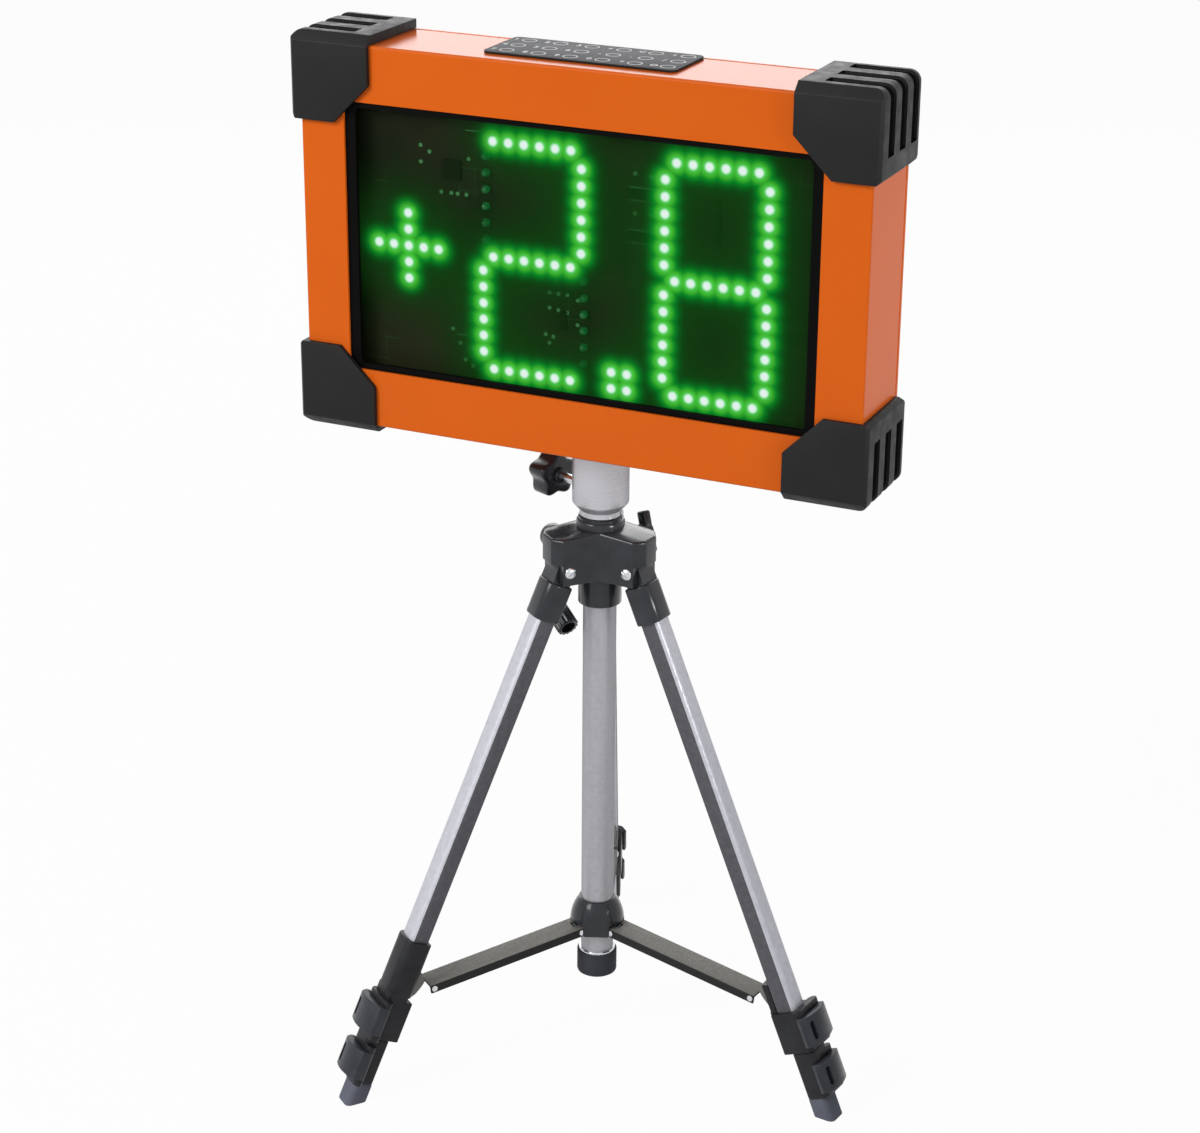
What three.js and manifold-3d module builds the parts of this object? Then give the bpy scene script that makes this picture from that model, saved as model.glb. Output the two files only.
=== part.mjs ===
// Electronic scoreboard on a folding tripod, in millimetres, +Z up, with the display facing -Y.
// Each piece is made about the column's axis, and the whole stands with its middle over the origin.
import * as THREE from 'three';
import { mergeVertices } from 'three/addons/utils/BufferGeometryUtils.js';
import Module from 'manifold-3d';

const wasm = await Module();
wasm.setup();

// General clearances, overruns and counts
const fitGap = 0.3;
const overrun = 2;
const roundSides = 20;
const smallSides = 8;
const ledSides = 6;
const cornerSteps = 2;
const tubeSteps = 1;
const leverSteps = 3;

// Display head: the orange housing and its window
const headWidth = 430;
const headHeight = 280;
const shellDepth = 68;
const coverDepth = 4;
const sheetWall = 2;
const columnSetback = 47;
const windowSideBar = 34.5;
const windowTopBar = 41.5;
const windowRise = 1;
const windowCornerRadius = 4;
const coverRimDepth = 3;
const coverRimWall = 2;

// Black frame that carries the pane and the board
const frameLipThickness = 3;
const frameMarginSide = 8;
const frameMarginTop = 4.5;
const frameOverlap = 7;
const frameWall = 4.7;
const frameDepth = 17.7;
const paneThickness = 3;
const boardSeatDepth = 14;
const boardStep = 4;
const boardThickness = 1.6;

// Light-emitting diodes of 5 mm
const ledRadius = 2.5;
const ledLength = 5;
const carrierThickness = 0.8;
const carrierWidth = 7;
const digitDrop = 2.5;
const ledsPerSide = 6;
const ledsPerSign = 5;

// Places across the window as shares of its width, and the digits' sizes as shares of its height
const leftDigitShare = -0.104432;
const rightDigitShare = 0.280609;
const signShare = -0.374792;
const pointShare = 0.083657;
const ledPitchShare = 0.060914;
const digitHalfWidthShare = 0.193401;
const digitRowShare = 0.420812;
const digitColumnShare = 0.206599;
const pointDropShare = 0.409645;

// Electronics behind the board
const controllerWidth = 160;
const controllerHeight = 96;
const controllerSideGap = 75;
const controllerTopGap = 22;
const chipHeight = 3;
const chipSize = 22;
const postRadius = 3;
const postLength = 9;
const postInset = 8;
const batteryWidth = 120;
const batteryHeight = 66;
const batteryDepth = 30;
const batterySideGap = 25;

// Corner caps of black plastic
const capProudSide = 6;
const capProudTop = 7;
const capProudBottom = 5;
const capProudFront = 4;
const capReachX = 56;
const capReachTop = 56;
const capReachBottom = 59;
const capInnerChamfer = 28;
const capFrontChamfer = 7;
const capOuterRadius = 8;
const capBackInset = 1;
const grooveWidth = 12;
const grooveDepth = 3;
const groovePitch = 23;
const grooveFirst = 9;
const grooveMargin = 16;
const grooveCount = 3;

// Keypad on the top
const keypadWidth = 145;
const keypadDepth = 54;
const keypadThickness = 2;
const keypadX = -6;
const keypadFromFront = 15;
const keypadCornerRadius = 5;

// Sleeve under the head, and its clamp knob
const sleeveRadius = 21;
const sleeveBore = 14.3;
const sleeveHeight = 52.7;
const sleeveChamfer = 5;
const sleeveNeckRadius = 16.8;
const sleeveFlangeRadius = 32;
const sleeveFlangeThickness = 3;
const clampRise = 12.7;
const clampAzimuth = 157.5;
const clampStudRadius = 3.5;
const clampKnobStart = 42;
const clampKnobLength = 17;
const clampKnobRadius = 18;
const clampLobeDepth = 3.5;
const clampLobes = 5;
const clampHubRadius = 8;
const clampHubLength = 4;

// Centre column
const columnRadius = 10.9;
const columnWall = 1.6;
const columnBottom = 120;
const neckRadius = 15.5;
const neckHeight = 4.7;
const spigotRadius = 14;
const spigotDrop = 3;

// Crown: canopy, bushing, guide tube and end cap
const canopyRise = 24;
const canopyDrop = 10;
const canopyHalfWidth = 14;
const canopyShoulderReach = 3;
const canopyNoseReach = 12;
const canopyNoseHalf = 7;
const canopyRoof = 13;
const canopyCoreRadius = 21;
const canopyNoseWall = 3;
const canopyNoseDrop = 5;
const collarRadius = 16.3;
const collarDrop = 33;
const bushingRadius = 18;
const bushingHeight = 12;
const bushingRim = 2;
const guideRadius = 12.5;
const guideWall = 1.3;
const guideRise = 2;
const guideBottom = 64;
const endCapRadius = 15.4;
const endCapBottom = 62;
const endCapTop = 79;
const endRingHeight = 2;
const endRingRadius = 14.2;

// Column lock wing
const wingAzimuth = 52;
const wingRise = 15;
const wingStudRadius = 3;
const wingBossRadius = 8;
const wingBossReach = 27;
const wingStart = 33;
const wingThickness = 6;
const wingHalfLength = 16;
const wingHalfWidth = 5.5;
const wingHubRadius = 6.5;
const wingTilt = 22;

// Crank on the far left of the canopy, with its grip folded in
const crankAzimuth = 146.5;
const crankRise = 10;
const crankOffset = 19;
const crankBossReach = 31;
const crankBossRadius = 9.5;
const crankHubThickness = 9;
const crankHubRadius = 9.5;
const crankShaftRadius = 3;
const crankShaftReach = 17;
const crankStep = 15;
const crankSideStep = -6;
const crankDrop = 57;
const crankArmRadius = 4.2;
const gripRadius = 8.6;
const gripLength = 31;
const gripBoreRadius = 5.6;
const gripBoreDepth = 12;
const gripTilt = 27;
const gripRibs = 12;
const gripRibDepth = 0.9;
const gripPinRadius = 2;
const gripForkRadius = 6;
const gripForkHalf = 6.5;
const gripTongueHalf = 3.2;

// Legs: pivots, splay and the three telescoping sections
const tripodAzimuth = -68;
const legPivotRadius = 32;
const legPivotHeight = 406;
const legSplay = 23.65;
const pivotBoltRadius = 2.5;
const pivotHeadRadius = 5;
const pivotHeadHeight = 3;
const knuckleRadius = 8;
const knuckleHalf = 9.4;
const upperHalfWidth = 9.5;
const upperHalfDepth = 7.5;
const tubeWall = 1.2;
const outerCornerRadius = 5;
const innerCornerRadius = 1.5;
const cornerFloor = 0.5;
const topCollarStart = 12;
const topCollarEnd = 41;
const topCollarWall = 2.4;
const topPlugLength = 10;
const middleTop = 45;
const lowerTop = 65;

// Flip locks, brace brackets and feet, set up the leg from the floor
const braceRise = 14.45;
const bandRise = 14;
const bandDrop = 11;
const bandWall = 2.6;
const longCollarRise = 48;
const lockPitch = 38;
const lockTwoRise = 51.62;
const lockLength = 33;
const lockWall = 3;
const lockNose = 6;
const leverMargin = 4.5;
const leverGap = 0.5;
const leverThickness = 4.6;
const leverBarrelRadius = 3.6;
const leverPinRadius = 1.3;
const leverTipReach = 4;
const footWall = 2.6;
const footOverhang = 14;

// Brace lug's outline: inward of the tube's axis and above the brace's centre line
const lugInner = [10.4, 13.2, 15.0, 16.4, 17.3, 12.0];
const lugLevel = [-11, -8, -4, 0, 4, 10];

// Spreader: the sliding hub and three arms of folded channel
const hubPivotRadius = 18.2;
const hubPivotHeight = 101;
const hubTop = 125;
const hubBottom = 94;
const hubShoulder = 107;
const hubTopRadius = 14.4;
const hubRadius = 21;
const hubDomeMiddle = 119;
const hubDomeMiddleRadius = 18.4;
const armHalfWidth = 10.2;
const armHalfHeight = 3.3;
const armSheet = 1.2;
const armEndReach = 3.2;
const openPivotInset = 27;
const armRivetRadius = 2.4;
const armRivetHead = 0.7;
const armPinRadius = 1.6;
const hubTongueHalf = 3;

// The canopy's arms reach past the leg pivots
const canopyShoulder = legPivotRadius + canopyShoulderReach;
const canopyNose = legPivotRadius + canopyNoseReach;

// Heights that follow the leg pivots, from the crown up to the head
const canopyTop = legPivotHeight + canopyRise;
const canopyBottom = legPivotHeight - canopyDrop;
const collarBottom = legPivotHeight - collarDrop;
const guideTop = legPivotHeight + guideRise;
const wingHeight = legPivotHeight + wingRise;
const crankHeight = legPivotHeight + crankRise;
const neckBottom = canopyTop + bushingHeight + fitGap;
const sleeveBottom = neckBottom + neckHeight + fitGap;
const clampHeight = sleeveBottom + clampRise;
const headBase = sleeveBottom + sleeveHeight;
const spigotTop = headBase - spigotDrop;

// Distances down a leg from its pivot, which follow its whole length
const legLength = legPivotHeight / Math.cos(radians(legSplay));
const lockTwoTop = legLength - lockTwoRise;
const lockOneTop = lockTwoTop - lockPitch;
const braceCentre = lockOneTop - braceRise;

// The window follows the head, and the digits follow the window
const windowWidth = headWidth - 2 * windowSideBar;
const windowHeight = headHeight - 2 * windowTopBar;
const leftDigitX = windowWidth * leftDigitShare;
const rightDigitX = windowWidth * rightDigitShare;
const signX = windowWidth * signShare;
const pointX = windowWidth * pointShare;
const ledPitch = windowHeight * ledPitchShare;
const digitHalfWidth = windowHeight * digitHalfWidthShare;
const digitRowHeight = windowHeight * digitRowShare;
const digitColumnMiddle = windowHeight * digitColumnShare;
const pointDrop = windowHeight * pointDropShare;

// The electronics keep their gaps to the head's walls
const controllerX = headWidth / 2 - controllerSideGap - controllerWidth / 2;
const controllerRise = headHeight / 2 - controllerTopGap - controllerHeight / 2;
const batteryX = batterySideGap + batteryWidth / 2 - headWidth / 2;

// Colours and finishes, one entry per look
const looks = {
  orange: { color: 0xd65f1d, roughness: 0.35, metalness: 0.1 },
  black: { color: 0x222224, roughness: 0.55, metalness: 0 },
  gloss: { color: 0x1b1b1e, roughness: 0.3, metalness: 0 },
  pane: { color: 0x0c1a10, roughness: 0.1, metalness: 0 },
  board: { color: 0x0f2a16, roughness: 0.6, metalness: 0 },
  led: { color: 0x35e05a, roughness: 0.3, metalness: 0 },
  battery: { color: 0x2d4f8a, roughness: 0.5, metalness: 0 },
  keypad: { color: 0x6a6c70, roughness: 0.5, metalness: 0 },
  aluminium: { color: 0xa9abb2, roughness: 0.35, metalness: 0.85 },
  steel: { color: 0xc4c6ca, roughness: 0.25, metalness: 0.9 },
  arm: { color: 0x4a4a4a, roughness: 0.6, metalness: 0.3 },
  rubber: { color: 0x3a3b3e, roughness: 0.8, metalness: 0 },
};

const part = new THREE.Group();

// A named mesh with its own material, put into a group
function addMesh(group, name, solid, look) {
  const source = solid.getMesh();
  const geometry = new THREE.BufferGeometry();
  geometry.setAttribute('position', new THREE.BufferAttribute(source.vertProperties, source.numProp));
  geometry.setIndex(new THREE.BufferAttribute(source.triVerts, 1));
  geometry.computeVertexNormals();
  const mesh = new THREE.Mesh(geometry, new THREE.MeshStandardMaterial(looks[look]));
  mesh.name = name;
  group.add(mesh);
  return mesh;
}

// A closed three.js geometry as a solid that can be cut and joined
function toSolid(geometry, matrix = null) {
  const bare = geometry.index ? geometry.toNonIndexed() : geometry.clone();
  bare.deleteAttribute('normal');
  bare.deleteAttribute('uv');
  if (matrix) bare.applyMatrix4(matrix);
  const merged = mergeVertices(bare);
  const mesh = new wasm.Mesh({
    numProp: 3,
    vertProperties: new Float32Array(merged.attributes.position.array),
    triVerts: new Uint32Array(merged.index.array),
  });
  return new wasm.Manifold(mesh);
}

function box(x0, x1, y0, y1, z0, z1) {
  const geometry = new THREE.BoxGeometry(x1 - x0, y1 - y0, z1 - z0);
  geometry.translate((x0 + x1) / 2, (y0 + y1) / 2, (z0 + z1) / 2);
  return toSolid(geometry);
}

// A round bar between two points
function rod(radius, from, to, sides = roundSides, endRadius = radius) {
  const axis = new THREE.Vector3().subVectors(to, from);
  const geometry = new THREE.CylinderGeometry(endRadius, radius, axis.length(), sides);
  const up = new THREE.Vector3(0, 1, 0);
  const turn = new THREE.Quaternion().setFromUnitVectors(up, axis.clone().normalize());
  geometry.applyQuaternion(turn);
  const middle = from.clone().add(to).multiplyScalar(1 / 2);
  geometry.translate(middle.x, middle.y, middle.z);
  return toSolid(geometry);
}

function upright(radius, z0, z1, sides = roundSides, endRadius = radius) {
  return rod(radius, new THREE.Vector3(0, 0, z0), new THREE.Vector3(0, 0, z1), sides, endRadius);
}

// An outline in the X-Y plane, extruded from z0 to z1
function prism(shape, z0, z1, steps = cornerSteps) {
  const geometry = new THREE.ExtrudeGeometry(shape, {
    depth: z1 - z0,
    bevelEnabled: false,
    curveSegments: steps,
  });
  geometry.translate(0, 0, z0);
  return toSolid(geometry);
}

// An outline in the X-Z plane, extruded along Y from y0 to y1
function slab(shape, y0, y1) {
  const geometry = new THREE.ExtrudeGeometry(shape, {
    depth: y1 - y0,
    bevelEnabled: false,
    curveSegments: cornerSteps,
  });
  geometry.rotateX(Math.PI / 2);
  geometry.translate(0, y1, 0);
  return toSolid(geometry);
}

function polygon(points) {
  return new THREE.Shape(points.map(([x, y]) => new THREE.Vector2(x, y)));
}

// A rectangle with rounded corners; radii run from the +x+y corner round to the +x-y corner
function roundedRect(x0, x1, y0, y1, radii) {
  const [a, b, c, d] = radii;
  const quarter = Math.PI / 2;
  const shape = new THREE.Shape();
  shape.moveTo(x1, y0 + d);
  shape.lineTo(x1, y1 - a);
  shape.absarc(x1 - a, y1 - a, a, 0, quarter, false);
  shape.lineTo(x0 + b, y1);
  shape.absarc(x0 + b, y1 - b, b, quarter, 2 * quarter, false);
  shape.lineTo(x0, y0 + c);
  shape.absarc(x0 + c, y0 + c, c, 2 * quarter, 3 * quarter, false);
  shape.lineTo(x1 - d, y0);
  shape.absarc(x1 - d, y0 + d, d, 3 * quarter, 4 * quarter, false);
  return shape;
}

function lathe(profile, sides = roundSides) {
  const points = profile.map(([r, z]) => new THREE.Vector2(r, z));
  const geometry = new THREE.LatheGeometry(points, sides);
  geometry.rotateX(Math.PI / 2);
  return toSolid(geometry);
}

function radians(degrees) {
  return THREE.MathUtils.degToRad(degrees);
}

// A point at an azimuth, with a distance out, a step to the left of it and a height
function polar(azimuth, out, side, height) {
  const a = radians(azimuth);
  return new THREE.Vector3(
    out * Math.cos(a) - side * Math.sin(a),
    out * Math.sin(a) + side * Math.cos(a),
    height,
  );
}

function turned(solid, azimuth) {
  return solid.rotate(0, 0, azimuth);
}

function union(solids) {
  return solids.reduce((whole, piece) => whole.add(piece));
}

// Places that the head's pieces share
const headFront = -columnSetback;
const shellBack = headFront + shellDepth;
const coverBack = shellBack + coverDepth;
const headTop = headBase + headHeight;
const headMiddle = (headBase + headTop) / 2;
const windowMiddle = headMiddle + windowRise;
const sleeveTop = headBase + sheetWall + fitGap + sleeveFlangeThickness;

function centredRect(halfX, halfZ, middleZ, radius) {
  return roundedRect(-halfX, halfX, middleZ - halfZ, middleZ + halfZ, Array(4).fill(radius));
}

function makeHousing(group) {
  const outer = box(-headWidth / 2, headWidth / 2, headFront, shellBack, headBase, headTop);
  const inner = box(
    -headWidth / 2 + sheetWall,
    headWidth / 2 - sheetWall,
    headFront + sheetWall,
    shellBack + overrun,
    headBase + sheetWall,
    headTop - sheetWall,
  );
  const opening = slab(
    centredRect(windowWidth / 2, windowHeight / 2, windowMiddle, windowCornerRadius),
    headFront - overrun,
    headFront + sheetWall + overrun,
  );
  const sleeveHole = upright(sleeveNeckRadius + fitGap, headBase - overrun, headBase + sheetWall + overrun);
  addMesh(group, 'housing', outer.subtract(inner).subtract(opening).subtract(sleeveHole), 'orange');
}

function makeRearCover(group) {
  const plate = box(-headWidth / 2, headWidth / 2, shellBack, coverBack, headBase, headTop);
  const halfX = headWidth / 2 - sheetWall - fitGap;
  const low = headBase + sheetWall + fitGap;
  const high = headTop - sheetWall - fitGap;
  const rim = box(-halfX, halfX, shellBack - coverRimDepth, shellBack, low, high).subtract(
    box(
      -halfX + coverRimWall,
      halfX - coverRimWall,
      shellBack - coverRimDepth - overrun,
      shellBack,
      low + coverRimWall,
      high - coverRimWall,
    ),
  );
  const posts = [];
  for (const sideX of [-1, 1]) {
    for (const sideZ of [-1, 1]) {
      const x = controllerX + sideX * (controllerWidth / 2 - postInset);
      const z = headMiddle + controllerRise + sideZ * (controllerHeight / 2 - postInset);
      const from = new THREE.Vector3(x, shellBack, z);
      posts.push(rod(postRadius, from, new THREE.Vector3(x, shellBack - postLength, z), smallSides));
    }
  }
  addMesh(group, 'rear_cover', union([plate, rim, ...posts]), 'orange');
}

// The frame's depths behind the front face
const frameFront = headFront + sheetWall + fitGap;
const paneFront = frameFront + frameLipThickness + fitGap;
const boardFront = frameFront + boardSeatDepth + fitGap;
const paneHalfX = windowWidth / 2 + frameOverlap - frameWall - boardStep;
const paneHalfZ = windowHeight / 2 + frameOverlap - frameWall - boardStep / 2;
const boardHalfX = paneHalfX + boardStep;
const boardHalfZ = paneHalfZ + boardStep / 2;

function windowBox(halfX, halfZ, y0, y1) {
  return box(-halfX, halfX, y0, y1, windowMiddle - halfZ, windowMiddle + halfZ);
}

function makeWindow(group) {
  const outer = windowBox(
    windowWidth / 2 + frameOverlap,
    windowHeight / 2 + frameOverlap,
    frameFront,
    frameFront + frameDepth,
  );
  const opening = slab(
    centredRect(
      windowWidth / 2 - frameMarginSide,
      windowHeight / 2 - frameMarginTop,
      windowMiddle,
      windowCornerRadius,
    ),
    frameFront - overrun,
    frameFront + frameDepth + overrun,
  );
  const panePocket = windowBox(
    paneHalfX + fitGap,
    paneHalfZ + fitGap,
    frameFront + frameLipThickness,
    frameFront + frameDepth + overrun,
  );
  const boardPocket = windowBox(
    boardHalfX + fitGap,
    boardHalfZ + fitGap,
    frameFront + boardSeatDepth,
    frameFront + frameDepth + overrun,
  );
  const frame = outer.subtract(opening).subtract(panePocket).subtract(boardPocket);
  addMesh(group, 'window_frame', frame, 'black');
  const pane = windowBox(paneHalfX, paneHalfZ, paneFront, paneFront + paneThickness);
  addMesh(group, 'window_pane', pane, 'pane');
  addMesh(
    group,
    'display_board',
    windowBox(boardHalfX, boardHalfZ, boardFront, boardFront + boardThickness),
    'board',
  );
}

// Places of the diodes in one straight line
function ledLine(x, z, stepX, stepZ, count) {
  const places = [];
  for (let i = 0; i < count; i += 1) {
    const k = i - (count - 1) / 2;
    places.push([x + k * stepX, z + k * stepZ]);
  }
  return places;
}

// The depth of the carriers, which stand on the board
const carrierBack = boardFront - fitGap;
const carrierFront = carrierBack - carrierThickness;

// A flat carrier strip round the middles of its end diodes
function carrierStrip(x0, x1, z0, z1) {
  const half = carrierWidth / 2;
  return box(x0 - half, x1 + half, carrierFront, carrierBack, z0 - half, z1 + half);
}

function ledBank(strips, places) {
  const root = carrierBack - carrierThickness / 2;
  const leds = places.map(([x, z]) =>
    rod(
      ledRadius,
      new THREE.Vector3(x, root, z),
      new THREE.Vector3(x, carrierFront - ledLength, z),
      ledSides,
    ),
  );
  return union([...strips, ...leds]);
}

// A digit: three rows and four half columns of diodes on a carrier shaped like an eight
function digitBank(x, z) {
  const places = [];
  const strips = [];
  for (const row of [-1, 0, 1]) {
    const level = z + row * digitRowHeight;
    places.push(...ledLine(x, level, ledPitch, 0, ledsPerSide));
    strips.push(carrierStrip(x - digitHalfWidth, x + digitHalfWidth, level, level));
  }
  for (const side of [-1, 1]) {
    const column = x + side * digitHalfWidth;
    for (const half of [-1, 1]) {
      places.push(...ledLine(column, z + half * digitColumnMiddle, 0, ledPitch, ledsPerSide));
    }
    strips.push(carrierStrip(column, column, z - digitRowHeight, z + digitRowHeight));
  }
  return ledBank(strips, places);
}

// The sign: a row and a column of diodes that share their middle one
function signBank(x, z) {
  const row = ledLine(x, z, ledPitch, 0, ledsPerSign);
  const column = ledLine(x, z, 0, ledPitch, ledsPerSign).filter(([, level]) => level !== z);
  const reach = ((ledsPerSign - 1) * ledPitch) / 2;
  const strips = [carrierStrip(x - reach, x + reach, z, z), carrierStrip(x, x, z - reach, z + reach)];
  return ledBank(strips, [...row, ...column]);
}

// The decimal point: four diodes in a square
function pointBank(x, z) {
  const half = ledPitch / 2;
  const places = [-half, half].flatMap((rise) => ledLine(x, z + rise, ledPitch, 0, 2));
  return ledBank([carrierStrip(x - half, x + half, z - half, z + half)], places);
}

function makeLeds(group) {
  const digitZ = headMiddle - digitDrop;
  addMesh(group, 'left_digit_leds', digitBank(leftDigitX, digitZ), 'led');
  addMesh(group, 'right_digit_leds', digitBank(rightDigitX, digitZ), 'led');
  addMesh(group, 'sign_leds', signBank(signX, digitZ), 'led');
  addMesh(group, 'point_leds', pointBank(pointX, headMiddle - pointDrop), 'led');
}

function makeElectronics(group) {
  const boardBack = shellBack - postLength - fitGap;
  const z = headMiddle + controllerRise;
  const board = box(
    controllerX - controllerWidth / 2,
    controllerX + controllerWidth / 2,
    boardBack - boardThickness,
    boardBack,
    z - controllerHeight / 2,
    z + controllerHeight / 2,
  );
  const chips = [-1, 0, 1].map((k) => {
    const x = controllerX + (k * controllerWidth) / 4;
    return box(
      x - chipSize / 2,
      x + chipSize / 2,
      boardBack - boardThickness - chipHeight,
      boardBack - boardThickness,
      z - chipSize / 2,
      z + chipSize / 2,
    );
  });
  addMesh(group, 'controller_board', union([board, ...chips]), 'board');
  const floor = headBase + sheetWall + fitGap + coverRimWall + fitGap;
  const back = shellBack - coverRimDepth - fitGap;
  const battery = prism(
    roundedRect(
      batteryX - batteryWidth / 2,
      batteryX + batteryWidth / 2,
      back - batteryDepth,
      back,
      Array(4).fill(innerCornerRadius * 2),
    ),
    floor - coverRimWall,
    floor + batteryHeight,
  );
  addMesh(group, 'battery_pack', battery, 'battery');
}

// One corner cap, made at the +x, +z corner about the head's middle and mirrored into place
function cornerCap(signX, signZ) {
  const upper = signZ > 0;
  const x1 = headWidth / 2 + capProudSide;
  const z1 = headHeight / 2 + (upper ? capProudTop : capProudBottom);
  const x0 = headWidth / 2 - capReachX;
  const z0 = headHeight / 2 - (upper ? capReachTop : capReachBottom);
  const shape = new THREE.Shape();
  shape.moveTo(x0, z0 + capInnerChamfer);
  shape.lineTo(x0 + capInnerChamfer, z0);
  shape.lineTo(x1, z0);
  shape.lineTo(x1, z1 - capOuterRadius);
  shape.absarc(x1 - capOuterRadius, z1 - capOuterRadius, capOuterRadius, 0, Math.PI / 2, false);
  shape.lineTo(x0, z1);
  const front = headFront - capProudFront;
  const back = coverBack - capBackInset;
  let cap = slab(shape, front, back);
  const bevel = polygon([
    [front - overrun, z1 - capFrontChamfer - overrun],
    [front + capFrontChamfer + overrun, z1 + overrun],
    [front - overrun, z1 + overrun],
  ]);
  const bevelCut = new THREE.ExtrudeGeometry(bevel, { depth: x1 - x0 + 2 * overrun, bevelEnabled: false });
  const basis = new THREE.Matrix4().makeBasis(
    new THREE.Vector3(0, 1, 0),
    new THREE.Vector3(0, 0, 1),
    new THREE.Vector3(1, 0, 0),
  );
  basis.setPosition(x0 - overrun, 0, 0);
  cap = cap.subtract(toSolid(bevelCut, basis));
  const inside = box(
    x0 - overrun,
    headWidth / 2 + fitGap,
    headFront - fitGap,
    back + overrun,
    z0 - overrun,
    headHeight / 2 + fitGap,
  );
  cap = cap.subtract(inside);
  for (let i = 0; i < grooveCount; i += 1) {
    cap = cap.subtract(capGroove(x0, x1, z0, z1, headFront + grooveFirst + i * groovePitch));
  }
  const mirrored = cap.scale([signX, 1, signZ]);
  return mirrored.translate(0, 0, headMiddle);
}

// A groove that runs over the cap's top, round its corner and down its side
function capGroove(x0, x1, z0, z1, start) {
  const shape = new THREE.Shape();
  const radius = capOuterRadius - grooveDepth;
  shape.moveTo(x0 + grooveMargin, z1 - grooveDepth);
  shape.lineTo(x1 - capOuterRadius, z1 - grooveDepth);
  shape.absarc(x1 - capOuterRadius, z1 - capOuterRadius, radius, Math.PI / 2, 0, true);
  shape.lineTo(x1 - grooveDepth, z0 + grooveMargin);
  shape.lineTo(x1 + overrun, z0 + grooveMargin);
  shape.lineTo(x1 + overrun, z1 + overrun);
  shape.lineTo(x0 + grooveMargin, z1 + overrun);
  return slab(shape, start, start + grooveWidth);
}

function makeCaps(group) {
  const places = [
    ['cap_top_left', -1, 1],
    ['cap_top_right', 1, 1],
    ['cap_bottom_left', -1, -1],
    ['cap_bottom_right', 1, -1],
  ];
  for (const [name, signX, signZ] of places) {
    addMesh(group, name, cornerCap(signX, signZ), 'black');
  }
}

function makeKeypad(group) {
  const shape = roundedRect(
    keypadX - keypadWidth / 2,
    keypadX + keypadWidth / 2,
    headFront + keypadFromFront,
    headFront + keypadFromFront + keypadDepth,
    Array(4).fill(keypadCornerRadius),
  );
  addMesh(group, 'keypad', prism(shape, headTop, headTop + keypadThickness), 'keypad');
}

function makeSleeve(group) {
  const profile = [
    [sleeveBore, sleeveBottom],
    [sleeveRadius - sleeveChamfer, sleeveBottom],
    [sleeveRadius, sleeveBottom + sleeveChamfer],
    [sleeveRadius, headBase],
    [sleeveNeckRadius, headBase],
    [sleeveNeckRadius, sleeveTop - sleeveFlangeThickness],
    [sleeveFlangeRadius, sleeveTop - sleeveFlangeThickness],
    [sleeveFlangeRadius, sleeveTop],
    [sleeveBore, sleeveTop],
    [sleeveBore, sleeveBottom],
  ];
  const studHole = rod(
    clampStudRadius + fitGap,
    polar(clampAzimuth, 0, 0, clampHeight),
    polar(clampAzimuth, sleeveRadius + overrun, 0, clampHeight),
    smallSides,
  );
  const behind = box(
    -sleeveFlangeRadius,
    sleeveFlangeRadius,
    shellBack - coverRimDepth - fitGap,
    sleeveFlangeRadius + overrun,
    headBase,
    sleeveTop + overrun,
  );
  addMesh(group, 'mount_sleeve', lathe(profile).subtract(studHole).subtract(behind), 'aluminium');
}

// A knob's outline with rounded lobes, as one closed curve
function lobedShape(radius, depth, lobes, stepsPerLobe) {
  const points = [];
  const count = lobes * stepsPerLobe;
  for (let i = 0; i < count; i += 1) {
    const a = (2 * Math.PI * i) / count;
    const r = radius - depth / 2 + (depth / 2) * Math.cos(lobes * a);
    points.push(new THREE.Vector2(r * Math.cos(a), r * Math.sin(a)));
  }
  return new THREE.Shape(points);
}

// A matrix that lays +Z along an azimuth, out from a point on the column's side
function outward(azimuth, out, side, height, spin = 0) {
  const a = radians(azimuth);
  const z = new THREE.Vector3(Math.cos(a), Math.sin(a), 0);
  const y = new THREE.Vector3(0, 0, 1);
  const x = new THREE.Vector3().crossVectors(y, z);
  const matrix = new THREE.Matrix4().makeBasis(x, y, z);
  matrix.multiply(new THREE.Matrix4().makeRotationZ(radians(spin)));
  matrix.setPosition(polar(azimuth, out, side, height));
  return matrix;
}

function makeClampKnob(group) {
  const stud = rod(
    clampStudRadius,
    polar(clampAzimuth, spigotRadius + fitGap, 0, clampHeight),
    polar(clampAzimuth, clampKnobStart + clampHubLength, 0, clampHeight),
    smallSides,
  );
  const hub = rod(
    clampHubRadius,
    polar(clampAzimuth, clampKnobStart - clampHubLength, 0, clampHeight),
    polar(clampAzimuth, clampKnobStart + clampHubLength, 0, clampHeight),
    smallSides,
  );
  const shape = lobedShape(clampKnobRadius, clampLobeDepth, clampLobes, ledSides);
  const knob = new THREE.ExtrudeGeometry(shape, { depth: clampKnobLength, bevelEnabled: false });
  const body = toSolid(knob, outward(clampAzimuth, clampKnobStart, 0, clampHeight));
  addMesh(group, 'clamp_knob', union([stud, hub, body]), 'gloss');
}

function makeColumn(group) {
  const bore = columnRadius - columnWall;
  const profile = [
    [bore, columnBottom],
    [columnRadius, columnBottom],
    [columnRadius, neckBottom],
    [neckRadius, neckBottom],
    [neckRadius, neckBottom + neckHeight],
    [spigotRadius, neckBottom + neckHeight],
    [spigotRadius, spigotTop],
    [bore, spigotTop],
    [bore, columnBottom],
  ];
  addMesh(group, 'centre_column', lathe(profile), 'aluminium');
}

// Azimuths of the three legs: front left, front right and rear
const legs = [
  { name: 'left', azimuth: tripodAzimuth - 60, collarRise: longCollarRise },
  { name: 'right', azimuth: tripodAzimuth + 60, collarRise: bandRise },
  { name: 'rear', azimuth: tripodAzimuth + 180, collarRise: bandRise },
];

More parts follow.
